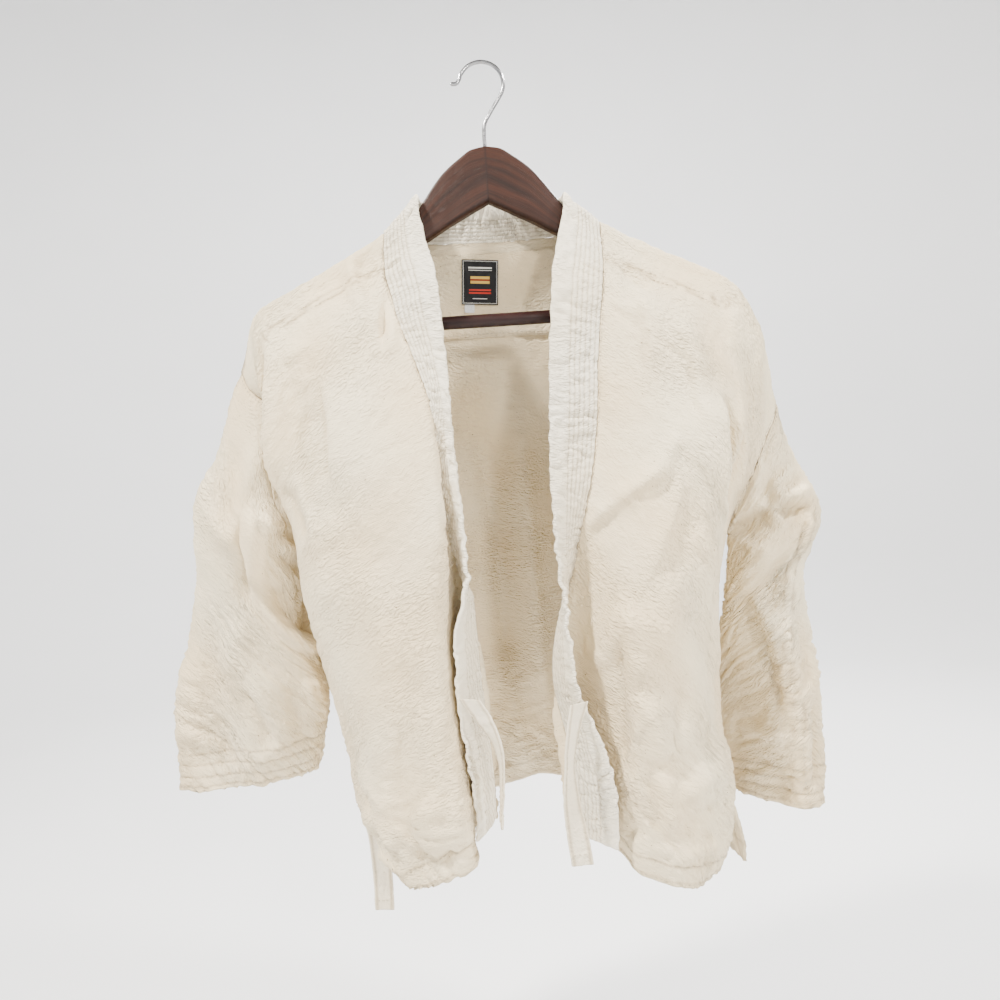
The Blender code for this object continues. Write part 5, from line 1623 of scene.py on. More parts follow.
@dataclass(frozen=True)
class LabelFinish:
    """Black woven satin with a stitched pale border and plain woven bars. Flat coordinates run from 0 to 1."""

    name: str
    pale: tuple[float, float, float]
    gold: tuple[float, float, float]
    red: tuple[float, float, float]

    def bar(self, sheet: NodeSheet, x: object, y: object, span: tuple[float, float, float, float]) -> object:
        """A mask of a rectangle, from its left, right, low and high shares of the label."""
        left, right, low, high = span
        inside_x = sheet.math("MULTIPLY", sheet.math("GREATER_THAN", x, left), sheet.math("LESS_THAN", x, right))
        inside_y = sheet.math("MULTIPLY", sheet.math("GREATER_THAN", y, low), sheet.math("LESS_THAN", y, high))
        return sheet.math("MULTIPLY", inside_x, inside_y)

    def make(self) -> bpy.types.Material:
        """Builds the material."""
        made, sheet, shader = new_material(self.name, 0.55)
        shader.inputs["Specular IOR Level"].default_value = 0.25
        place = sheet.add("UVMap", uv_map="flat").outputs["UV"]
        parts = sheet.add("SeparateXYZ", {0: place}).outputs
        x, y = parts[0], parts[1]
        colour = (0.004, 0.004, 0.005, 1)
        inner = self.bar(sheet, x, y, (0.055, 0.945, 0.045, 0.955))
        outer = self.bar(sheet, x, y, (0.030, 0.970, 0.025, 0.975))
        dashes = sheet.math("GREATER_THAN", sheet.math("SINE", sheet.math("MULTIPLY", sheet.math("ADD", x, y), 190.0)), -0.2)
        border = sheet.math("MULTIPLY", sheet.math("SUBTRACT", outer, inner), dashes)
        colour = sheet.blend(border, colour, (*self.pale, 1))
        bars = [
            ((0.18, 0.82, 0.80, 0.835), self.pale), ((0.18, 0.82, 0.755, 0.77), self.pale),
            ((0.24, 0.76, 0.47, 0.63), self.gold), ((0.24, 0.76, 0.53, 0.57), (0.20, 0.01, 0.006)),
            ((0.20, 0.80, 0.31, 0.345), self.red), ((0.20, 0.80, 0.245, 0.28), self.red),
            ((0.30, 0.70, 0.13, 0.145), self.pale),
        ]
        raised = border
        for span, tone in bars:
            mask = self.bar(sheet, x, y, span)
            colour = sheet.blend(mask, colour, (*tone, 1))
            raised = sheet.math("MAXIMUM", raised, mask)
        ribs = sheet.math("SINE", sheet.math("MULTIPLY", y, 520.0))
        height = sheet.math("ADD", raised, sheet.math("MULTIPLY", ribs, 0.25))
        bump = sheet.add("Bump", {"Height": height, "Distance": 0.12 * MM, "Strength": 1.0})
        made.node_tree.links.new(colour, shader.inputs["Base Color"])
        made.node_tree.links.new(bump.outputs["Normal"], shader.inputs["Normal"])
        return made


CANVAS = CottonFinish("canvas", (0.835, 0.72, 0.50), (0.78, 0.63, 0.395), 1.0, 1.35, 125.0, 235.0, 1100.0, 0.18)
BAND_COTTON = CottonFinish("band_cotton", (0.845, 0.785, 0.645), (0.80, 0.715, 0.55), 0.35, 1.1, 110.0, 300.0, 1300.0, 0.14)
TAPE = CottonFinish("tape_cotton", (0.85, 0.765, 0.60), (0.81, 0.70, 0.51), 0.4, 0.45, 160.0, 160.0, 900.0, 0.14)
# Thread colour darker than the cloth: partly the thread's own tone, partly painted shade along the stitch rows.
THREAD = ThreadFinish("thread", (0.60, 0.51, 0.36))
WALNUT = WoodFinish("walnut", (0.036, 0.0105, 0.0046), (0.0095, 0.0031, 0.0017), 0.9, 0.45, 0.04)
BAR_WOOD = WoodFinish("bar_wood", (0.020, 0.0045, 0.0034), (0.008, 0.0020, 0.0018), 0.6, 0.42, 0.08)
WIRE = WireFinish("plated_wire", (0.33, 0.33, 0.34))
SATIN = LabelFinish("label_satin", (0.72, 0.71, 0.66), (0.62, 0.40, 0.08), (0.55, 0.03, 0.015))
TAG = ThreadFinish("tag_satin", (0.80, 0.80, 0.80))


@dataclass(frozen=True)
class Cut:
    """A piece of cloth as it was cut: its greatest width and length and its flat area, and how it is held."""

    width: float
    length: float
    area: float
    held: str
    rests_on: tuple[str, ...]

    def declare(self, piece: bpy.types.Object, with_pieces: Sequence[bpy.types.Object] = ()) -> None:
        """Takes a piece of this cut, and does nothing with it."""


CUTS = {
    "front_left": Cut(0.29, 0.56, 0.120, "hung", ("hanger_body",)),
    "front_right": Cut(0.30, 0.57, 0.122, "hung", ("hanger_body",)),
    "back": Cut(0.66, 0.61, 0.300, "hung", ("hanger_body",)),
    "sleeve_left": Cut(0.42, 0.37, 0.110, "hung", ("front_left", "back")),
    "sleeve_right": Cut(0.35, 0.38, 0.095, "hung", ("front_right", "back")),
    "collar": Cut(0.045, 1.26, 0.0562, "hung", ("front_left", "front_right", "back")),
    "yoke": Cut(0.36, 0.085, 0.028, "hung", ("back",)),
    "label": Cut(0.036, 0.043, 0.00154, "hung", ("yoke",)),
    "tie_side_left": Cut(0.018, 0.09, 0.00162, "hung", ("front_left",)),
    "tie_lapel_right": Cut(0.018, 0.13, 0.00234, "hung", ("collar",)),
    "tie_lapel_left": Cut(0.018, 0.105, 0.00189, "hung", ("collar",)),
}


@dataclass
class Jacket:
    """The jacket's cut pieces: two fronts, a back, two sleeves, the collar band and the shoulder lining."""

    canvas: bpy.types.Material
    band_cotton: bpy.types.Material
    thread: bpy.types.Material
    crumple_height: float = 1.7
    swell_height: float = 2.2
    panels: dict[str, ClothPanel] = field(default_factory=dict)
    pieces: dict[str, bpy.types.Object] = field(default_factory=dict)

    def lay_out(self) -> None:
        """Works out every panel's surface on its fine grid."""
        left = FrontShape(LEFT_FRONT, LEFT_SHOULDER, LEFT_SIDE, LEFT_FRONT_HEM)
        right = FrontShape(RIGHT_FRONT, RIGHT_SHOULDER, RIGHT_SIDE, RIGHT_FRONT_HEM)
        flat = {"front_left": front_grid(left), "front_right": front_grid(right), "back": back_grid(left, right)}
        coarse = {
            "front_left": raise_folds(flat["front_left"], LEFT_FRONT_FOLDS, True),
            "front_right": raise_folds(flat["front_right"], RIGHT_FRONT_FOLDS, False),
            "back": raise_folds(flat["back"], BACK_FOLDS, False),
        }
        rows = fine_places(ROW_STEPS)
        steps = {name: [FRONT_COLUMN_STEPS] * COLUMNS for name in ("front_left", "front_right")}
        steps["back"] = [BACK_COLUMN_STEPS] * (2 * COLUMNS + NECK_COLUMNS)
        fine = {
            name: read_between(read_between(grid, rows).swapaxes(0, 1), fine_places(steps[name])).swapaxes(0, 1)
            for name, grid in coarse.items()
        }
        back = fine["back"]
        self.match_sides(back, fine, rows)
        armpit = int(np.searchsorted(rows, ROW_ARMPIT))
        around = np.concatenate([ROW_ARMPIT - rows[armpit::-1], ROW_ARMPIT + rows[1:armpit + 1]])
        sleeves = {}
        for name, front, edge, table, folds, turned in (
            ("sleeve_left", "front_left", 0, LEFT_SLEEVE, LEFT_SLEEVE_FOLDS, False),
            ("sleeve_right", "front_right", -1, RIGHT_SLEEVE, RIGHT_SLEEVE_FOLDS, True),
        ):
            loop = np.concatenate([
                flat[front][ROW_ARMPIT::-1, 0], flat["back"][1:ROW_ARMPIT + 1, edge],
            ])
            rings = raise_folds(sleeve_grid(table, loop), folds, turned, True)
            along = np.linspace(0.0, SLEEVE_RINGS, SLEEVE_STEPS + 1)
            tube = read_between(read_between(rings, along).swapaxes(0, 1), around).swapaxes(0, 1)
            seam = np.concatenate([fine[front][armpit::-1, 0], back[1:armpit + 1, edge]])
            fade = 1 - smooth_step(along / SLEEVE_RINGS / 0.3)
            sleeves[name] = tube + (seam - tube[0])[None] * fade[:, None, None]
        band = self.band_surface(left, right, flat)
        self.panels = {
            "front_left": ClothPanel("front_left_cloth", fine["front_left"], True),
            "front_right": ClothPanel("front_right_cloth", fine["front_right"], False),
            "back": ClothPanel("back_cloth", back, False),
            "collar": ClothPanel("collar_band", band, False, wall=BAND_SHELL),
            "sleeve_left": ClothPanel("sleeve_left_cloth", sleeves["sleeve_left"], False, ring=True),
            "sleeve_right": ClothPanel("sleeve_right_cloth", sleeves["sleeve_right"], True, ring=True),
        }

    def match_sides(self, back: Array, fine: dict[str, Array], rows: Array) -> None:
        """Draws the back's side edges onto the fronts' between armpit and slit."""
        joined = (rows >= ROW_ARMPIT) & (rows <= ROW_SLIT)
        fade = 1 - smooth_step(np.arange(12) / 11.0)
        for front, edge in (("front_left", 0), ("front_right", -1)):
            gap = np.where(joined[:, None], fine[front][:, 0] - back[:, edge], 0.0)
            for k, share in enumerate(fade):
                back[:, edge + k if edge == 0 else -1 - k] += gap * share

    def band_surface(self, left: "FrontShape", right: "FrontShape", coarse: dict[str, Array]) -> Array:
        """The collar band's surface, fine enough for its gathers."""
        base = band_grid(left, right, coarse["back"])
        edge = read_between(base[:, 1], fine_places(BAND_ROW_STEPS[::-1] + [BAND_NECK_STEPS] * NECK_COLUMNS + BAND_ROW_STEPS))
        rows = fine_places(BAND_ROW_STEPS)
        neck = COLUMNS + fine_places([BAND_NECK_STEPS] * NECK_COLUMNS)[1:-1]
        seam = np.concatenate([
            read_between(coarse["front_left"][:, -1], rows)[::-1],
            read_between(coarse["back"][0], neck),
            read_between(coarse["front_right"][:, -1], rows),
        ])
        shares = self.band_shares()
        return seam[:, None] * (1 - shares[None, :, None]) + edge[:, None] * shares[None, :, None]

    def band_shares(self) -> Array:
        """Where the band's columns lie across it, closer together at each stitched row and at the edge."""
        near = [row + gap for row in BAND_ROWS for gap in (-0.018, 0.0, 0.018, 0.05)]
        rest = [0.0, 0.02, 0.045, 0.66, 0.69, 0.73, 0.77, 0.81, 0.85, 0.89, 0.93, 0.96, 0.98, 0.993, 1.0]
        return np.array(sorted(near + rest))

    def crease_bodies(self) -> None:
        """Lays the creases, swells and crumple of each body panel, over the folds of the solids."""
        tables = {
            "front_left": (LEFT_FRONT_CREASES, 21),
            "front_right": (RIGHT_FRONT_CREASES, 37),
            "back": (BACK_CREASES, 53),
        }
        for name, (creases, seed) in tables.items():
            panel = self.panels[name]
            x, z = panel.grid[..., 0], panel.grid[..., 2]
            inward = -1.6 if name == "back" else 1.0
            seams = self.seam_fade(panel)
            panel.lift += inward * CREASE_STRENGTH * crease_lift(x, z, creases) * (0.25 + 0.75 * seams)
            panel.swell(self.swell_height * seams, 60, 95, seed)
            low = smooth_step((-z - 560) / 130)
            top = smooth_step((z + 300) / 90)
            patch = 0.5 + 0.5 * ripple(panel.u / 70, panel.v / 70, seed + 4)
            strength = self.crumple_height * (0.35 + 0.45 * patch + 0.7 * low + 0.25 * top)
            if name == "back":
                strength *= 1 - 0.9 * self.label_patch(x, z)
            strength *= 0.45 + 0.55 * smooth_step(panel.from_edge(Edge.BOTTOM) / 26)
            panel.crumple_all(strength * (0.4 + 0.6 * seams), 30, 17, seed + 2)
            panel.crumple_all(strength * 0.5, 12, 7, seed + 9)
            panel.raise_cloth()

    def seam_fade(self, panel: ClothPanel) -> Array:
        """0 at a panel's seams and 1 away from them."""
        ends = smooth_step(panel.from_edge(Edge.TOP) / 24)
        if panel.ring:
            return ends
        sides = smooth_step(panel.from_edge(Edge.FIRST) / 16) * smooth_step(panel.from_edge(Edge.LAST) / 16)
        return ends * sides

    def label_patch(self, x: Array, z: Array) -> Array:
        """1 where the label is sewn on, which keeps the cloth there smooth."""
        away = np.hypot((x - LABEL_MIDDLE[0]) / 34.0, (z - LABEL_MIDDLE[1]) / 36.0)
        return 1 - smooth_step((away - 0.8) / 0.5)

    def crease_sleeves(self) -> None:
        """Lays the creases, swells and crumple of both sleeves over their folds, more of them low down and at the
        armpit.
        """
        tables = {
            "sleeve_left": (LEFT_SLEEVE_CREASES, CREASES_BEHIND_LEFT, 71),
            "sleeve_right": (RIGHT_SLEEVE_CREASES, CREASES_BEHIND_RIGHT, 89),
        }
        for name, (creases, behind, seed) in tables.items():
            panel = self.panels[name]
            x, z = panel.grid[..., 0], panel.grid[..., 2]
            facing = smooth_step((0.35 - panel.normals[..., 1]) / 0.5)
            start = smooth_step(panel.v / 14)
            panel.lift += CREASE_STRENGTH * crease_lift(x, z, creases) * facing * start
            panel.lift += CREASE_STRENGTH * crease_lift(x, z, behind) * (1 - facing) * start
            width = np.maximum(panel.u[:, -1:], 1.0)
            round_u = np.sin(2 * np.pi * panel.u / width) * width / (2 * np.pi) + facing * 400.0
            low = smooth_step((-z - 420) / 160)
            strength = self.crumple_height * (0.7 + 0.7 * low) * start
            panel.lift += self.swell_height * ripple(round_u / 40, panel.v / 60, seed) * start
            panel.lift += strength * crumple(round_u / 24, panel.v / 15, seed + 2)
            panel.lift += 0.5 * strength * crumple(round_u / 11, panel.v / 7, seed + 6)
            panel.raise_cloth()

    def sew_bodies(self) -> None:
        """Sews the shoulder, side, armhole and collar seams, turns the hems and slits, and stitches them."""
        slit = int(np.searchsorted(fine_places(ROW_STEPS), ROW_SLIT))
        for name, seed in (("front_left", 5), ("front_right", 6), ("back", 7)):
            panel = self.panels[name]
            sides = [Edge.FIRST, Edge.LAST] if name == "back" else [Edge.FIRST]
            rows = np.arange(panel.grid.shape[0])[:, None]
            slit_mask = smooth_step((rows - slit) / 5.0)
            for side in sides:
                gap = panel.from_edge(side)
                panel.sew(np.where(rows < slit, gap, 99.0), panel.v, seed, 0.8)
                panel.hem(side, SLIT_HEM, [SLIT_HEM - 2], slit_mask, seed + 30)
                panel.stitch_along(side, SLIT_HEM - 2, slice(slit, None))
                panel.stitch_along(side, 4.0, slice(3, slit), both=False)
            panel.sew(panel.from_edge(Edge.TOP), panel.u, seed + 12, 0.5)
            if name != "back":
                panel.sew(panel.from_edge(Edge.LAST), panel.v, seed + 14, 0.7, 7.5)
                panel.stitch_along(Edge.LAST, 2.6, slice(8, None), both=False)
            panel.hem(Edge.BOTTOM, HEM_WIDTH, [HEM_WIDTH - 2.5, 3.0], 1.0, seed + 40)
            panel.stitch_along(Edge.BOTTOM, HEM_WIDTH - 2.5)
            panel.stitch_along(Edge.BOTTOM, 3.0, both=False)
        for name, line, seed in (("front_left", YOKE_LINE_LEFT, 61), ("front_right", YOKE_LINE_RIGHT, 63)):
            panel = self.panels[name]
            beside, along = near_line(panel.grid[..., 0], panel.grid[..., 2], line)
            panel.sew(beside, along, seed, 0.9, 7.0)
            panel.sew(beside - 5.0, along, seed + 1, 0.4, 7.0)
            panel.raise_cloth()
            panel.stitch_line(line)
            panel.stitch_line(line, 5.0)
        self.panels["back"].raise_cloth()

    def wave_hems(self) -> None:
        """Lets the hems and cuffs run a little unevenly, and rolls the left front's low corner forward."""
        for name, seed in (("front_left", 3), ("front_right", 4), ("back", 8), ("sleeve_left", 9), ("sleeve_right", 10)):
            panel = self.panels[name]
            low = 1 - smooth_step(panel.from_edge(Edge.BOTTOM) / 34)
            panel.grid[..., 2] += low * 1.6 * ripple(panel.u / 24, panel.v * 0, seed)
            panel.lift += low * 3.2 * ripple(panel.u / 34, panel.v / 80, seed + 2)
            if name == "front_left":
                corner = np.exp(-(((panel.u - 70) / 60) ** 2))
                panel.lift += 5.0 * corner * (1 - smooth_step(panel.from_edge(Edge.BOTTOM) / 16))
            panel.raise_cloth()

    def sew_sleeves(self) -> None:
        """Sews the armholes and under-sleeve seams, and turns the cuffs."""
        for name, seed in (("sleeve_left", 15), ("sleeve_right", 16)):
            panel = self.panels[name]
            panel.sew(panel.v, panel.u, seed, 0.9, 8.0)
            under = np.minimum(panel.u, panel.u[:, -1:] - panel.u)
            panel.sew(under, panel.v, seed + 1, 1.0, 8.0)
            lines = [CUFF_WIDTH - 2, 24.0, 13.0, 4.0]
            panel.hem(Edge.BOTTOM, CUFF_WIDTH, lines, 1.0, seed + 3)
            if name == "sleeve_right":
                x = np.where(panel.normals[..., 1] < 0.1, panel.grid[..., 0], 1e4)
                beside, along = near_line(x, panel.grid[..., 2], SLEEVE_SEAM_RIGHT)
                strip = smooth_step((FELL_WIDTH / 2 + 1 - np.abs(beside - FELL_WIDTH / 2)) / 1.4)
                panel.lift += 1.1 * strip
                panel.sew(beside, along, seed + 8, 1.9, 8.0)
                panel.sew(beside - FELL_WIDTH, along, seed + 9, 1.0, 7.0)
            panel.raise_cloth()
            for line in lines:
                panel.stitch_along(Edge.BOTTOM, line, both=False)
            panel.stitch_along(Edge.TOP, 4.0, both=False)
            if name == "sleeve_right":
                panel.stitch_line(SLEEVE_SEAM_RIGHT)
                panel.stitch_line(SLEEVE_SEAM_RIGHT, FELL_WIDTH)

    def quilt_band(self) -> None:
        """Stitches the collar band's rows and draws its gathers across them."""
        panel = self.panels["collar"]
        shares = self.band_shares()[None, :]
        along = np.concatenate([[0.0], np.cumsum(np.linalg.norm(np.diff(panel.grid[:, 8], axis=0), axis=1))])[:, None]
        away = shares * BAND_WIDTH
        lean = along + 0.16 * away
        quilted = 1 - smooth_step((shares - 0.60) / 0.12)
        tight = crumple(lean / 12.0, away / 30.0, 101) + 0.6 * ripple(lean / 4.6, away / 13.0, 103)
        loose = crumple(lean / 17.0, away / 34.0, 107) + 0.5 * ripple(lean / 6.5, away / 20.0, 109)
        panel.lift += 1.6 * quilted * tight + 2.0 * (1 - quilted) * loose
        panel.lift *= smooth_step(shares / 0.05)
        for row in BAND_ROWS:
            groove = np.exp(-(((shares - row) * BAND_WIDTH / 0.75) ** 2))
            panel.thick = panel.thick - 1.3 * groove
            panel.seam = np.maximum(panel.seam, 0.75 * groove)
        rounding = np.sqrt(np.clip(1 - ((np.maximum(away - BAND_WIDTH + 2.2, 0)) / 2.2) ** 2, 0.12, 1))
        rise = 0.45 + 0.55 * smooth_step(shares / 0.045)
        panel.thick = panel.thick * rounding * rise
        panel.grid[:, :, 2] += 0.0
        edge = smooth_step((shares - 0.8) / 0.2)
        outward = panel.grid[:, -1] - panel.grid[:, -6]
        outward /= np.maximum(np.linalg.norm(outward, axis=1, keepdims=True), 1e-9)
        panel.grid += outward[:, None] * (edge * 1.0 * ripple(along / 11.0, along * 0, 111))[..., None]
        panel.raise_cloth()
        rows = np.arange(panel.grid.shape[0], dtype=float)[::3]
        for share in BAND_ROWS:
            column = np.full(len(rows), np.interp(share, self.band_shares(), np.arange(shares.size)))
            panel.runs.append(panel.read(rows, column))
            panel.runs.append(panel.read(rows, column, inside=True))

    def build(self) -> None:
        """Builds every piece of cloth, and the stitches that go with it."""
        self.lay_out()
        self.crease_bodies()
        self.crease_sleeves()
        self.wave_hems()
        self.sew_bodies()
        self.sew_sleeves()
        self.quilt_band()
        mitre(list(self.panels.values()))
        for node, panel in self.panels.items():
            finish = self.band_cotton if node == "collar" else self.canvas
            piece = add_shell(panel, finish)
            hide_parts(node)
            stitches = add_stitches(node + "_stitches", panel.runs, self.thread)
            CUTS[node].declare(piece, [stitches])
            self.pieces[node] = piece
        self.build_yoke()

    def build_yoke(self) -> None:
        """The shoulder lining, laid on the back's inside from the back's own points."""
        back = self.panels["back"]
        rows = fine_places(ROW_STEPS)
        first = int(np.searchsorted(rows, YOKE_TOP_ROW)) + 1
        last = int(np.searchsorted(rows, YOKE_LAST_ROW))
        left = YOKE_COLUMN * BACK_COLUMN_STEPS + 1
        keep = (slice(first, last), slice(left, back.grid.shape[1] - left))
        below = SHELL / 2 + 0.45 + YOKE_SHELL / 2
        grid = back.grid[keep] - back.normals[keep] * (below + 0.2)
        yoke = ClothPanel("shoulder_lining", grid, False, wall=YOKE_SHELL)
        gap = yoke.from_edge(Edge.BOTTOM)
        yoke.lift -= 0.35 * np.clip(crumple(yoke.u / 9, yoke.v / 30, 121), 0, 1) * np.exp(-((gap / 16) ** 2))
        yoke.raise_cloth()
        yoke.seam = 0.7 * np.exp(-(((gap - 4) / 1.3) ** 2))
        yoke.runs.append(yoke.read(*self.row_at(yoke, 4.0), inside=True))
        piece = add_shell(yoke, self.canvas)
        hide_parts("yoke")
        self.panels["yoke"] = yoke
        self.pieces["yoke"] = piece
        stitches = add_stitches("yoke_stitches", yoke.runs, self.thread)
        CUTS["yoke"].declare(piece, [stitches])

    def row_at(self, panel: ClothPanel, distance: float) -> tuple[Array, Array]:
        """The places of a row at a distance from a panel's lower edge."""
        gap = panel.from_edge(Edge.BOTTOM)
        whole = np.arange(gap.shape[0], dtype=float)
        columns = np.arange(gap.shape[1])
        rows = np.array([np.interp(distance, gap[::-1, j], whole[::-1]) for j in columns])
        return rows, columns.astype(float)


def ribbon(table: Sequence[RibbonPoint], steps: int, across: int) -> Array:
    """A tape's grid of points from its centre line, with its width turned as the table says.

    Args:
        table: The centre line.
        steps: Points in each span of the line.
        across: Points over its width.

    Returns:
        Rows of points from its sewn end down.
    """
    edges = []
    for half in (-0.5, 0.5):
        knots = [
            np.array([p.x, p.y, p.z])
            + np.array([math.cos(math.radians(p.turn)), math.sin(math.radians(p.turn)), 0.0]) * TIE_WIDTH * half
            for p in table
        ]
        edges.append(round_curve(knots, steps))
    share = np.linspace(0.0, 1.0, across)[None, :, None]
    return edges[0][:, None] * (1 - share) + edges[1][:, None] * share


@dataclass
class Ties:
    """The three cotton tapes that still hang from the jacket, and the threads where the fourth was."""

    tape: bpy.types.Material
    thread: bpy.types.Material
    wall: float = 1.0
    pieces: dict[str, bpy.types.Object] = field(default_factory=dict)
    panels: dict[str, ClothPanel] = field(default_factory=dict)

    def add_threads(self) -> None:
        """The frayed threads at the right slit, where a fourth tape was torn off."""
        parts, faces = [], []
        for x, y, z, lean, drop in FRAYED_THREADS:
            points = [(x, y, z), (x + lean * 0.2, y - 2.6, z - drop * 0.25), (x + lean * 0.9, y - 3.4, z - drop * 0.6),
                      (x + lean, y - 2.8, z - drop)]
            vertices, tube = thread_tube(points, 0.3)
            faces += [[k + sum(len(p) for p in parts) for k in face] for face in tube]
            parts.append(vertices)
        self.pieces["frayed_threads"] = link_mesh("frayed_threads", np.concatenate(parts), faces, self.thread)

    def build(self) -> None:
        """Builds each tape from its table."""
        self.add_threads()
        tables = {"tie_side_left": SIDE_TIE, "tie_lapel_right": RIGHT_LAPEL_TIE, "tie_lapel_left": LEFT_LAPEL_TIE}
        for seed, (node, table) in enumerate(tables.items()):
            panel = ClothPanel(node + "_tape", ribbon(table, 22, 19), False, wall=self.wall)
            panel.crumple_all(0.5, 9, 14, 131 + seed)
            panel.swell(0.7, 22, 30, 141 + seed)
            for edge in (Edge.FIRST, Edge.LAST):
                panel.sew(panel.from_edge(edge) - 2.4, panel.v, 151 + seed, 0.3, 6.0)
            near_end = panel.from_edge(Edge.BOTTOM)
            panel.thick += 0.7 * smooth_step((11 - near_end) / 1.5 + 0.5)
            panel.lift -= 0.3 * np.exp(-(((near_end - 9) / 1.2) ** 2))
            panel.lift *= smooth_step(panel.v / 10)
            panel.raise_cloth()
            panel.stitch_along(Edge.FIRST, 2.4)
            panel.stitch_along(Edge.LAST, 2.4)
            panel.stitch_along(Edge.BOTTOM, 9.0)
            piece = add_shell(panel, self.tape)
            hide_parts(node)
            self.panels[node] = panel
            self.pieces[node] = piece
            stitches = add_stitches(node + "_stitches", panel.runs, self.thread)
            CUTS[node].declare(piece, [stitches])


def thread_tube(points: Sequence, radius: float, sides: int = 6) -> tuple[Array, list[list[int]]]:
    """A thin round tube along a smooth line.

    Args:
        points: The line's points.
        radius: The tube's radius.
        sides: How many sides it has.

    Returns:
        Its vertices and faces.
    """
    line, _ = spread_evenly(round_curve(np.array(points, float), 10), 10 * len(points))
    ahead = np.gradient(line, axis=0)
    ahead /= np.linalg.norm(ahead, axis=1, keepdims=True)
    side = np.cross(ahead, [0.03, 1.0, 0.02])
    side /= np.linalg.norm(side, axis=1, keepdims=True)
    up = np.cross(side, ahead)
    angles = np.linspace(0, 2 * np.pi, sides, endpoint=False)[:, None]
    rings = line[:, None] + radius * (side[:, None] * np.cos(angles) + up[:, None] * np.sin(angles))
    return rings.reshape(-1, 3), tube_faces(len(line), sides)


def tube_faces(count: int, sides: int, closed_ends: bool = True) -> list[list[int]]:
    """The faces of a tube made of rings of points, one after the other."""
    faces = []
    for i in range(count - 1):
        for k in range(sides):
            near, far = i * sides, (i + 1) * sides
            faces.append([near + k, near + (k + 1) % sides, far + (k + 1) % sides, far + k])
    if closed_ends:
        faces.append(list(range(sides))[::-1])
        faces.append([(count - 1) * sides + k for k in range(sides)])
    return faces


@dataclass
class Label:
    """The woven label on the shoulder lining, sewn down all round, and its small folded size tab."""

    satin: bpy.types.Material
    tab: bpy.types.Material
    thread: bpy.types.Material
    cells: int = 36
    wall: float = 0.6
    tab_width: float = 10.0
    tab_height: float = 8.0

    def sheet_on(self, yoke: ClothPanel, middle: tuple[float, float], size: tuple[float, float], gap: float) -> Array:
        """A small sheet's points, just clear of the lining's inner face.

        Args:
            yoke: The lining.
            middle: The sheet's middle, across and in height.
            size: Its width and height.
            gap: How far its middle surface is from the lining's inner face.

        Returns:
            Rows of points from its top down.
        """
        turn = math.radians(LABEL_TILT)
        across = np.linspace(-0.5, 0.5, self.cells + 1) * size[0]
        down = np.linspace(0.5, -0.5, self.cells + 1) * size[1]
        a, d = np.meshgrid(across, down)
        x = middle[0] + a * math.cos(turn) - d * math.sin(turn)
        z = middle[1] + a * math.sin(turn) + d * math.cos(turn)
        inner = (yoke.grid - yoke.normals * yoke.thick[..., None] / 2).reshape(-1, 3)
        tree = KDTree(len(inner))
        for k, spot in enumerate(inner):
            tree.insert((spot[0], 0.0, spot[2]), k)
        tree.balance()
        depth = np.zeros_like(x)
        for place in np.ndindex(x.shape):
            found = tree.find_n((x[place], 0.0, z[place]), 4)
            weights = np.array([1.0 / (away + 0.05) for _, _, away in found])
            depth[place] = (inner[[k for _, k, _ in found], 1] * weights).sum() / weights.sum()
        terms = np.stack([np.ones_like(a), a, d, a * a, a * d, d * d], axis=-1).reshape(-1, 6)
        fit, *_ = np.linalg.lstsq(terms, depth.ravel(), rcond=None)
        smooth = (terms @ fit).reshape(depth.shape)
        smooth -= max(float((smooth - depth).max()), 0.0)
        return np.stack([x, smooth - gap, z], axis=-1)

    def build(self, yoke: ClothPanel) -> list[bpy.types.Object]:
        """Builds the label and its tab on the lining."""
        grid = self.sheet_on(yoke, LABEL_MIDDLE, (LABEL_WIDTH, LABEL_HEIGHT), 0.35 + self.wall / 2)
        label = ClothPanel("woven_label", grid, False, wall=self.wall)
        border = np.minimum(
            np.minimum(label.from_edge(Edge.FIRST), label.from_edge(Edge.LAST)),
            np.minimum(label.from_edge(Edge.TOP), label.from_edge(Edge.BOTTOM)),
        )
        label.lift -= 0.22 * ripple(label.u / 6, label.v / 6, 161) * smooth_step((9 - border) / 8)
        label.lift = np.minimum(label.lift, 0.0) - 0.15 * smooth_step(border / 4)
        label.raise_cloth()
        label.flat = np.stack([
            label.u / label.u[:, -1:] / MM,
            (1 - label.v / label.v[-1:]) / MM,
        ], axis=2)
        piece = add_shell(label, self.satin)
        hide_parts("label")
        corner = (LABEL_MIDDLE[0] - 12.0, LABEL_MIDDLE[1] - 24.2)
        tab_grid = self.sheet_on(yoke, corner, (self.tab_width, self.tab_height), 0.35 + self.wall / 2)
        tab = ClothPanel("size_tab", tab_grid, False, wall=self.wall)
        tab.lift += 0.9 * smooth_step(tab.v / 7) * (0.4 + 0.6 * smooth_step(tab.u / 9))
        tab.lift = -np.abs(tab.lift)
        tab.raise_cloth()
        tab_piece = add_shell(tab, self.tab)
        CUTS["label"].declare(piece, [tab_piece])
        return [piece, tab_piece]


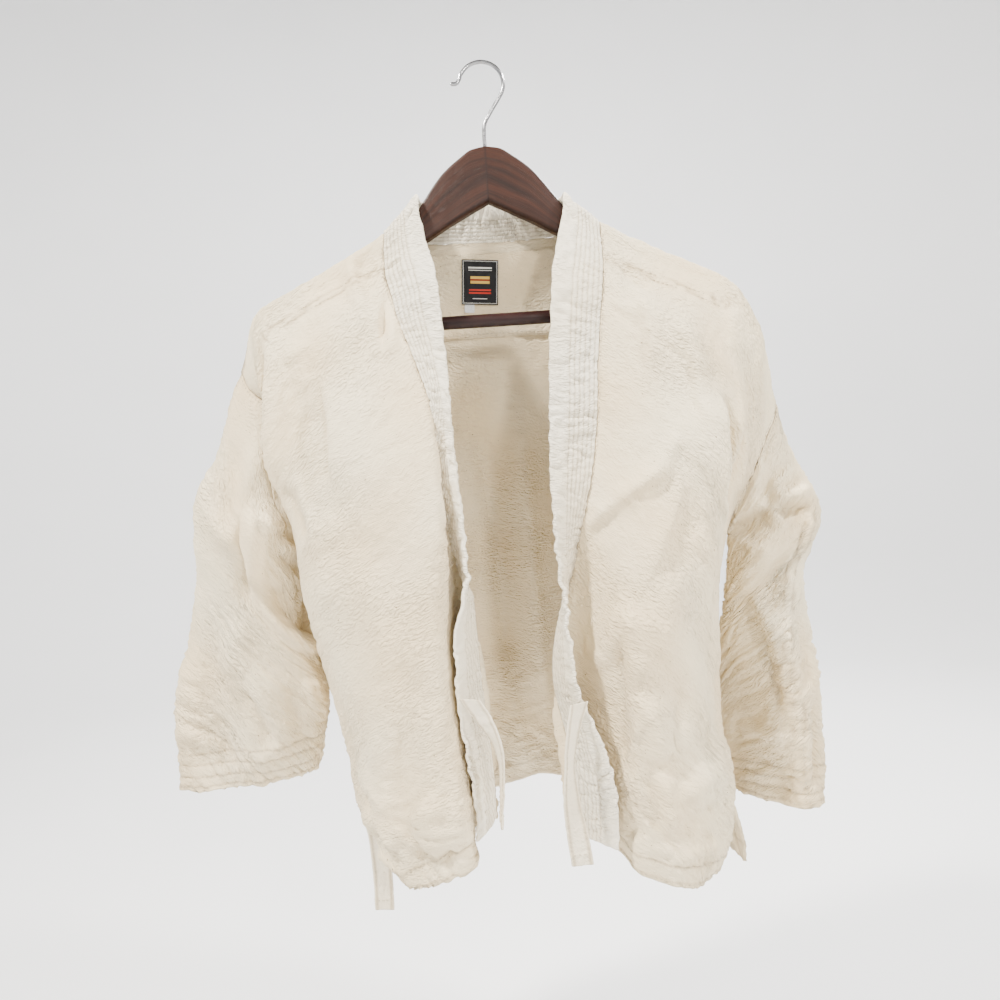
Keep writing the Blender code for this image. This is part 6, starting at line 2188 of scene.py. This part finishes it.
@dataclass
class Hanger:
    """The wooden hanger: two mitred arms, a turned bar and a plated hook."""

    walnut: bpy.types.Material
    bar_wood: bpy.types.Material
    wire: bpy.types.Material
    edge_radius: float = 4.0
    stations: int = 260
    corner_cuts: int = 5

    def arm_section(self, x: float, top: float, bottom: float) -> list[tuple[float, float, float]]:
        """The rounded section of the arms at one distance from the middle."""
        half = WOOD_THICK / 2
        edge = min(self.edge_radius, (top - bottom) * 0.45)
        bow = float(wood_bow(x))
        ring = []
        corners = [(half - edge, top - edge, 0), (-half + edge, top - edge, 90)]
        corners += [(-half + edge, bottom + edge, 180), (half - edge, bottom + edge, 270)]
        for y, z, start in corners:
            for turn in np.linspace(0.0, 90.0, self.corner_cuts + 1):
                angle = math.radians(start + turn)
                ring.append((x, bow + y + edge * math.cos(angle), z + edge * math.sin(angle)))
        return ring

    def build_arms(self) -> bpy.types.Object:
        """The two arms as one loft, with the mitred joint as a fine groove at the middle."""
        knots = [w.x for w in WOOD]
        span = WOOD_HALF_SPAN
        xs = np.linspace(0.0, span, self.stations // 2 + 1)[1:]
        xs = np.concatenate([[0.0, 0.35], xs[xs > 0.6], [span + 0.9, span + 1.5]])
        rows = []
        for x in xs:
            held = min(x, span)
            past = max(x - span, 0.0) / 1.6
            top = float(smooth_column(knots, column(WOOD, "top"), held))
            bottom = float(smooth_column(knots, column(WOOD, "bottom"), held))
            groove = 0.12 * max(0.0, 1 - x / 0.35)
            shrink = groove + 2.6 * past * past
            rows.append((float(x), top - shrink, bottom + shrink))
        every = [(-x, top, bottom) for x, top, bottom in rows[:0:-1]] + rows
        rings = np.array([self.arm_section(*row) for row in every])
        middle = rings.mean(axis=1, keepdims=True)
        rings[[0, -1], :, 1] = middle[[0, -1], :, 1] + (rings[[0, -1], :, 1] - middle[[0, -1], :, 1]) * 0.82
        sides = rings.shape[1]
        piece = link_mesh("hanger_arms", rings.reshape(-1, 3), tube_faces(len(rings), sides), self.walnut)
        line = np.linalg.norm(np.diff(middle[:, 0], axis=0), axis=1)
        travel = np.concatenate([[0.0], np.cumsum(line)])
        round_way = np.cumsum(np.concatenate([[0.0], np.linalg.norm(np.diff(rings[130], axis=0), axis=1)]))
        marks = np.exp(-((np.array([row[0] for row in every]) / 0.6) ** 2))
        self.lay_grain(piece, travel, round_way, sides, marks)
        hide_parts("hanger_body")
        return piece

    def lay_grain(self, piece: bpy.types.Object, travel: Array, around: Array, sides: int, marks: Array) -> None:
        """Gives a tube flat coordinates along and round it, and marks of dark joints."""
        sheet = piece.data.uv_layers.new(name="flat")
        values = np.zeros((len(piece.data.loops), 2), np.float32)
        for face in piece.data.polygons:
            first = face.vertices[0] % sides
            for loop in face.loop_indices:
                vertex = piece.data.loops[loop].vertex_index
                ring, corner = divmod(vertex, sides)
                way = around[corner] if not (corner == 0 and first == sides - 1) else around[-1] + 4.0
                values[loop] = (travel[ring] * MM, way * MM)
        sheet.uv.foreach_set("vector", values.ravel())
        seam = piece.data.attributes.new("seam", "FLOAT", "POINT")
        seam.data.foreach_set("value", np.repeat(marks, sides).astype(np.float32))

    def build_bar(self) -> bpy.types.Object:
        """The trouser bar with its tenons, and a small round on each shoulder."""
        bar, tenon = BAR_DIAMETER / 2, TENON_DIAMETER / 2
        end = BAR_SHOULDER_X + TENON_LENGTH
        half = [(end, tenon - 0.6), (end - 0.6, tenon), (BAR_SHOULDER_X + 0.1, tenon), (BAR_SHOULDER_X, tenon + 0.2)]
        half += [(BAR_SHOULDER_X, bar - 0.7), (BAR_SHOULDER_X - 0.25, bar - 0.2), (BAR_SHOULDER_X - 0.8, bar)]
        half += [(x, bar) for x in np.linspace(BAR_SHOULDER_X - 4, 4, 40)]
        rows = [(-x, r) for x, r in half] + half[::-1]
        sides = 48
        angles = np.linspace(0, 2 * np.pi, sides, endpoint=False)
        y0 = float(wood_bow(BAR_SHOULDER_X + TENON_LENGTH / 2))
        rings = np.array([
            [(x, y0 + r * math.cos(a), BAR_HEIGHT + r * math.sin(a)) for a in angles] for x, r in rows
        ])
        piece = link_mesh("hanger_rod", rings.reshape(-1, 3), tube_faces(len(rows), sides), self.bar_wood)
        travel = np.array([x + end for x, _ in rows])
        marks = np.array([0.8 if abs(abs(x) - BAR_SHOULDER_X) < 0.3 else 0.0 for x, _ in rows])
        self.lay_grain(piece, travel, angles * bar, sides, marks)
        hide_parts("hanger_bar")
        return piece

    def build_hook(self) -> bpy.types.Object:
        """The hook's wire along its route, with a rounded tip."""
        reach, wire = HOOK_RADIUS, WIRE_DIAMETER / 2
        middle = wire - reach
        stem_end = WOOD[0].top - STEM_DEPTH + 0.3
        route = [(0, stem_end), (0, WOOD[0].top), (0, -66), (1.5, -56), (8, -45)]
        route += [
            (reach * math.cos(math.radians(a)), middle + reach * math.sin(math.radians(a))) for a in HOOK_ANGLES
        ]
        route += HOOK_TIP
        line, length = spread_evenly(round_curve(np.array(route, float)), 200)
        travel = np.linspace(0.0, length, len(line))
        ahead = np.gradient(line, axis=0)
        ahead /= np.linalg.norm(ahead, axis=1, keepdims=True)
        left = length - travel
        radius = np.where(left < wire, np.sqrt(np.clip(wire**2 - (wire - left) ** 2, 0.02, None)), wire)
        sides = 28
        angles = np.linspace(0, 2 * np.pi, sides, endpoint=False)
        side = np.stack([-ahead[:, 1], ahead[:, 0]], axis=1)
        rings = np.zeros((len(line), sides, 3))
        rings[..., 0] = line[:, :1] + radius[:, None] * np.cos(angles) * side[:, :1]
        rings[..., 1] = radius[:, None] * np.sin(angles)
        rings[..., 2] = line[:, 1:] + radius[:, None] * np.cos(angles) * side[:, 1:]
        piece = link_mesh("hanger_wire", rings.reshape(-1, 3), tube_faces(len(line), sides)[::1], self.wire)
        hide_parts("hanger_hook")
        return piece


@dataclass
class Studio:
    """The pale floor that curves up into a wall all round, the lights and the camera."""

    floor_height: float = -1.12
    flat_radius: float = 2.6
    wall_radius: float = 4.6
    wall_height: float = 7.0
    camera_place: tuple[float, float, float] = (-0.0072, -0.695, -0.410)
    camera_roll: float = 3.7
    lens: float = 26.64

    def build_floor(self) -> None:
        """The bowl."""
        sides, rings = 128, []
        profile = [(0.02, 0.0), (0.8, 0.0), (1.7, 0.0), (self.flat_radius, 0.0)]
        bend = self.wall_radius - self.flat_radius
        for turn in np.linspace(6, 90, 18):
            angle = math.radians(turn)
            profile.append((self.flat_radius + bend * math.sin(angle), bend * (1 - math.cos(angle))))
        profile.append((self.wall_radius, self.wall_height))
        for radius, height in profile:
            rings.append([
                (radius * math.cos(a), radius * math.sin(a), self.floor_height + height)
                for a in np.linspace(0, 2 * np.pi, sides, endpoint=False)
            ])
        mesh = bpy.data.meshes.new("studio_floor")
        faces = tube_faces(len(rings), sides, closed_ends=False) + [list(range(sides))[::-1]]
        mesh.from_pydata(np.array(rings).reshape(-1, 3).tolist(), [], faces)
        mesh.shade_smooth()
        paper, sheet, shader = new_material("studio_paper", 0.95)
        place = sheet.add("TexCoord").outputs["Object"]
        shade = sheet.span(sheet.noise(place, 1.4, 2.0), 0.3, 0.7)
        tone = sheet.blend(shade, (0.90, 0.90, 0.90, 1), (0.93, 0.93, 0.93, 1))
        paper.node_tree.links.new(tone, shader.inputs["Base Color"])
        mesh.materials.append(paper)
        floor = bpy.data.objects.new("studio_floor", mesh)
        bpy.context.scene.collection.objects.link(floor)

    def add_light(self, name: str, place: Sequence[float], target: Sequence[float], size: float, watts: float,
                  colour: tuple[float, float, float] = (1.0, 1.0, 1.0)) -> None:
        """Adds a square area light that faces a point."""
        lamp = bpy.data.lights.new(name, "AREA")
        lamp.shape = "SQUARE"
        lamp.size = size
        lamp.energy = watts
        lamp.color = colour
        made = bpy.data.objects.new(name, lamp)
        made.location = place
        made.rotation_euler = (Vector(target) - Vector(place)).to_track_quat("-Z", "Y").to_euler()
        bpy.context.scene.collection.objects.link(made)

    def build_lights(self) -> None:
        """Two lamps high in front, a low fill, one behind for the other views, and a pale sky."""
        middle = (0.0, 0.0, -0.42)
        self.add_light("lamp_left", (-1.05, -0.80, 1.25), middle, 0.20, 118.0, (1.0, 0.96, 0.89))
        self.add_light("lamp_right", (1.15, -0.72, 1.10), middle, 0.20, 60.0, (1.0, 0.97, 0.93))
        self.add_light("lamp_front", (0.75, -2.0, 0.30), middle, 0.20, 30.0, (1.0, 0.96, 0.90))
        self.add_light("lamp_behind", (1.0, 1.15, 1.2), middle, 0.3, 95.0)
        self.add_light("lamp_wall", (0.0, 1.5, 1.9), (0.0, 4.6, 0.2), 1.6, 150.0)
        world = bpy.data.worlds.new("studio_sky")
        world.use_nodes = True
        sky = world.node_tree.nodes["Background"]
        sky.inputs["Color"].default_value = (0.86, 0.90, 1.0, 1)
        sky.inputs["Strength"].default_value = 0.06
        bpy.context.scene.world = world

    def place_camera(self) -> None:
        """The camera, level and turned a little about its own axis."""
        camera = bpy.data.cameras.new("camera")
        camera.lens = self.lens
        camera.sensor_width = 36.0
        camera.clip_start = 0.01
        made = bpy.data.objects.new("camera", camera)
        roll = math.radians(self.camera_roll)
        right = Vector((math.cos(roll), 0.0, -math.sin(roll)))
        up = Vector((math.sin(roll), 0.0, math.cos(roll)))
        back = right.cross(up)
        turn = Matrix((right, up, back)).transposed()
        made.matrix_world = Matrix.Translation(self.camera_place) @ turn.to_4x4()
        bpy.context.scene.collection.objects.link(made)
        bpy.context.scene.camera = made

    def build(self) -> None:
        """Sets up the whole studio."""
        self.build_floor()
        self.build_lights()
        self.place_camera()


def main() -> None:
    """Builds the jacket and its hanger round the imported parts."""
    logging.basicConfig(level=logging.INFO, format="%(message)s", stream=sys.stdout)
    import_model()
    Studio().build()
    thread = THREAD.make()
    jacket = Jacket(CANVAS.make(), BAND_COTTON.make(), thread)
    jacket.build()
    ties = Ties(TAPE.make(), thread)
    ties.build()
    label, tab = Label(SATIN.make(), TAG.make(), thread).build(jacket.panels["yoke"])
    hanger = Hanger(WALNUT.make(), BAR_WOOD.make(), WIRE.make())
    hanger.build_arms()
    hanger.build_bar()
    hanger.build_hook()


if __name__ == "__main__":
    main()
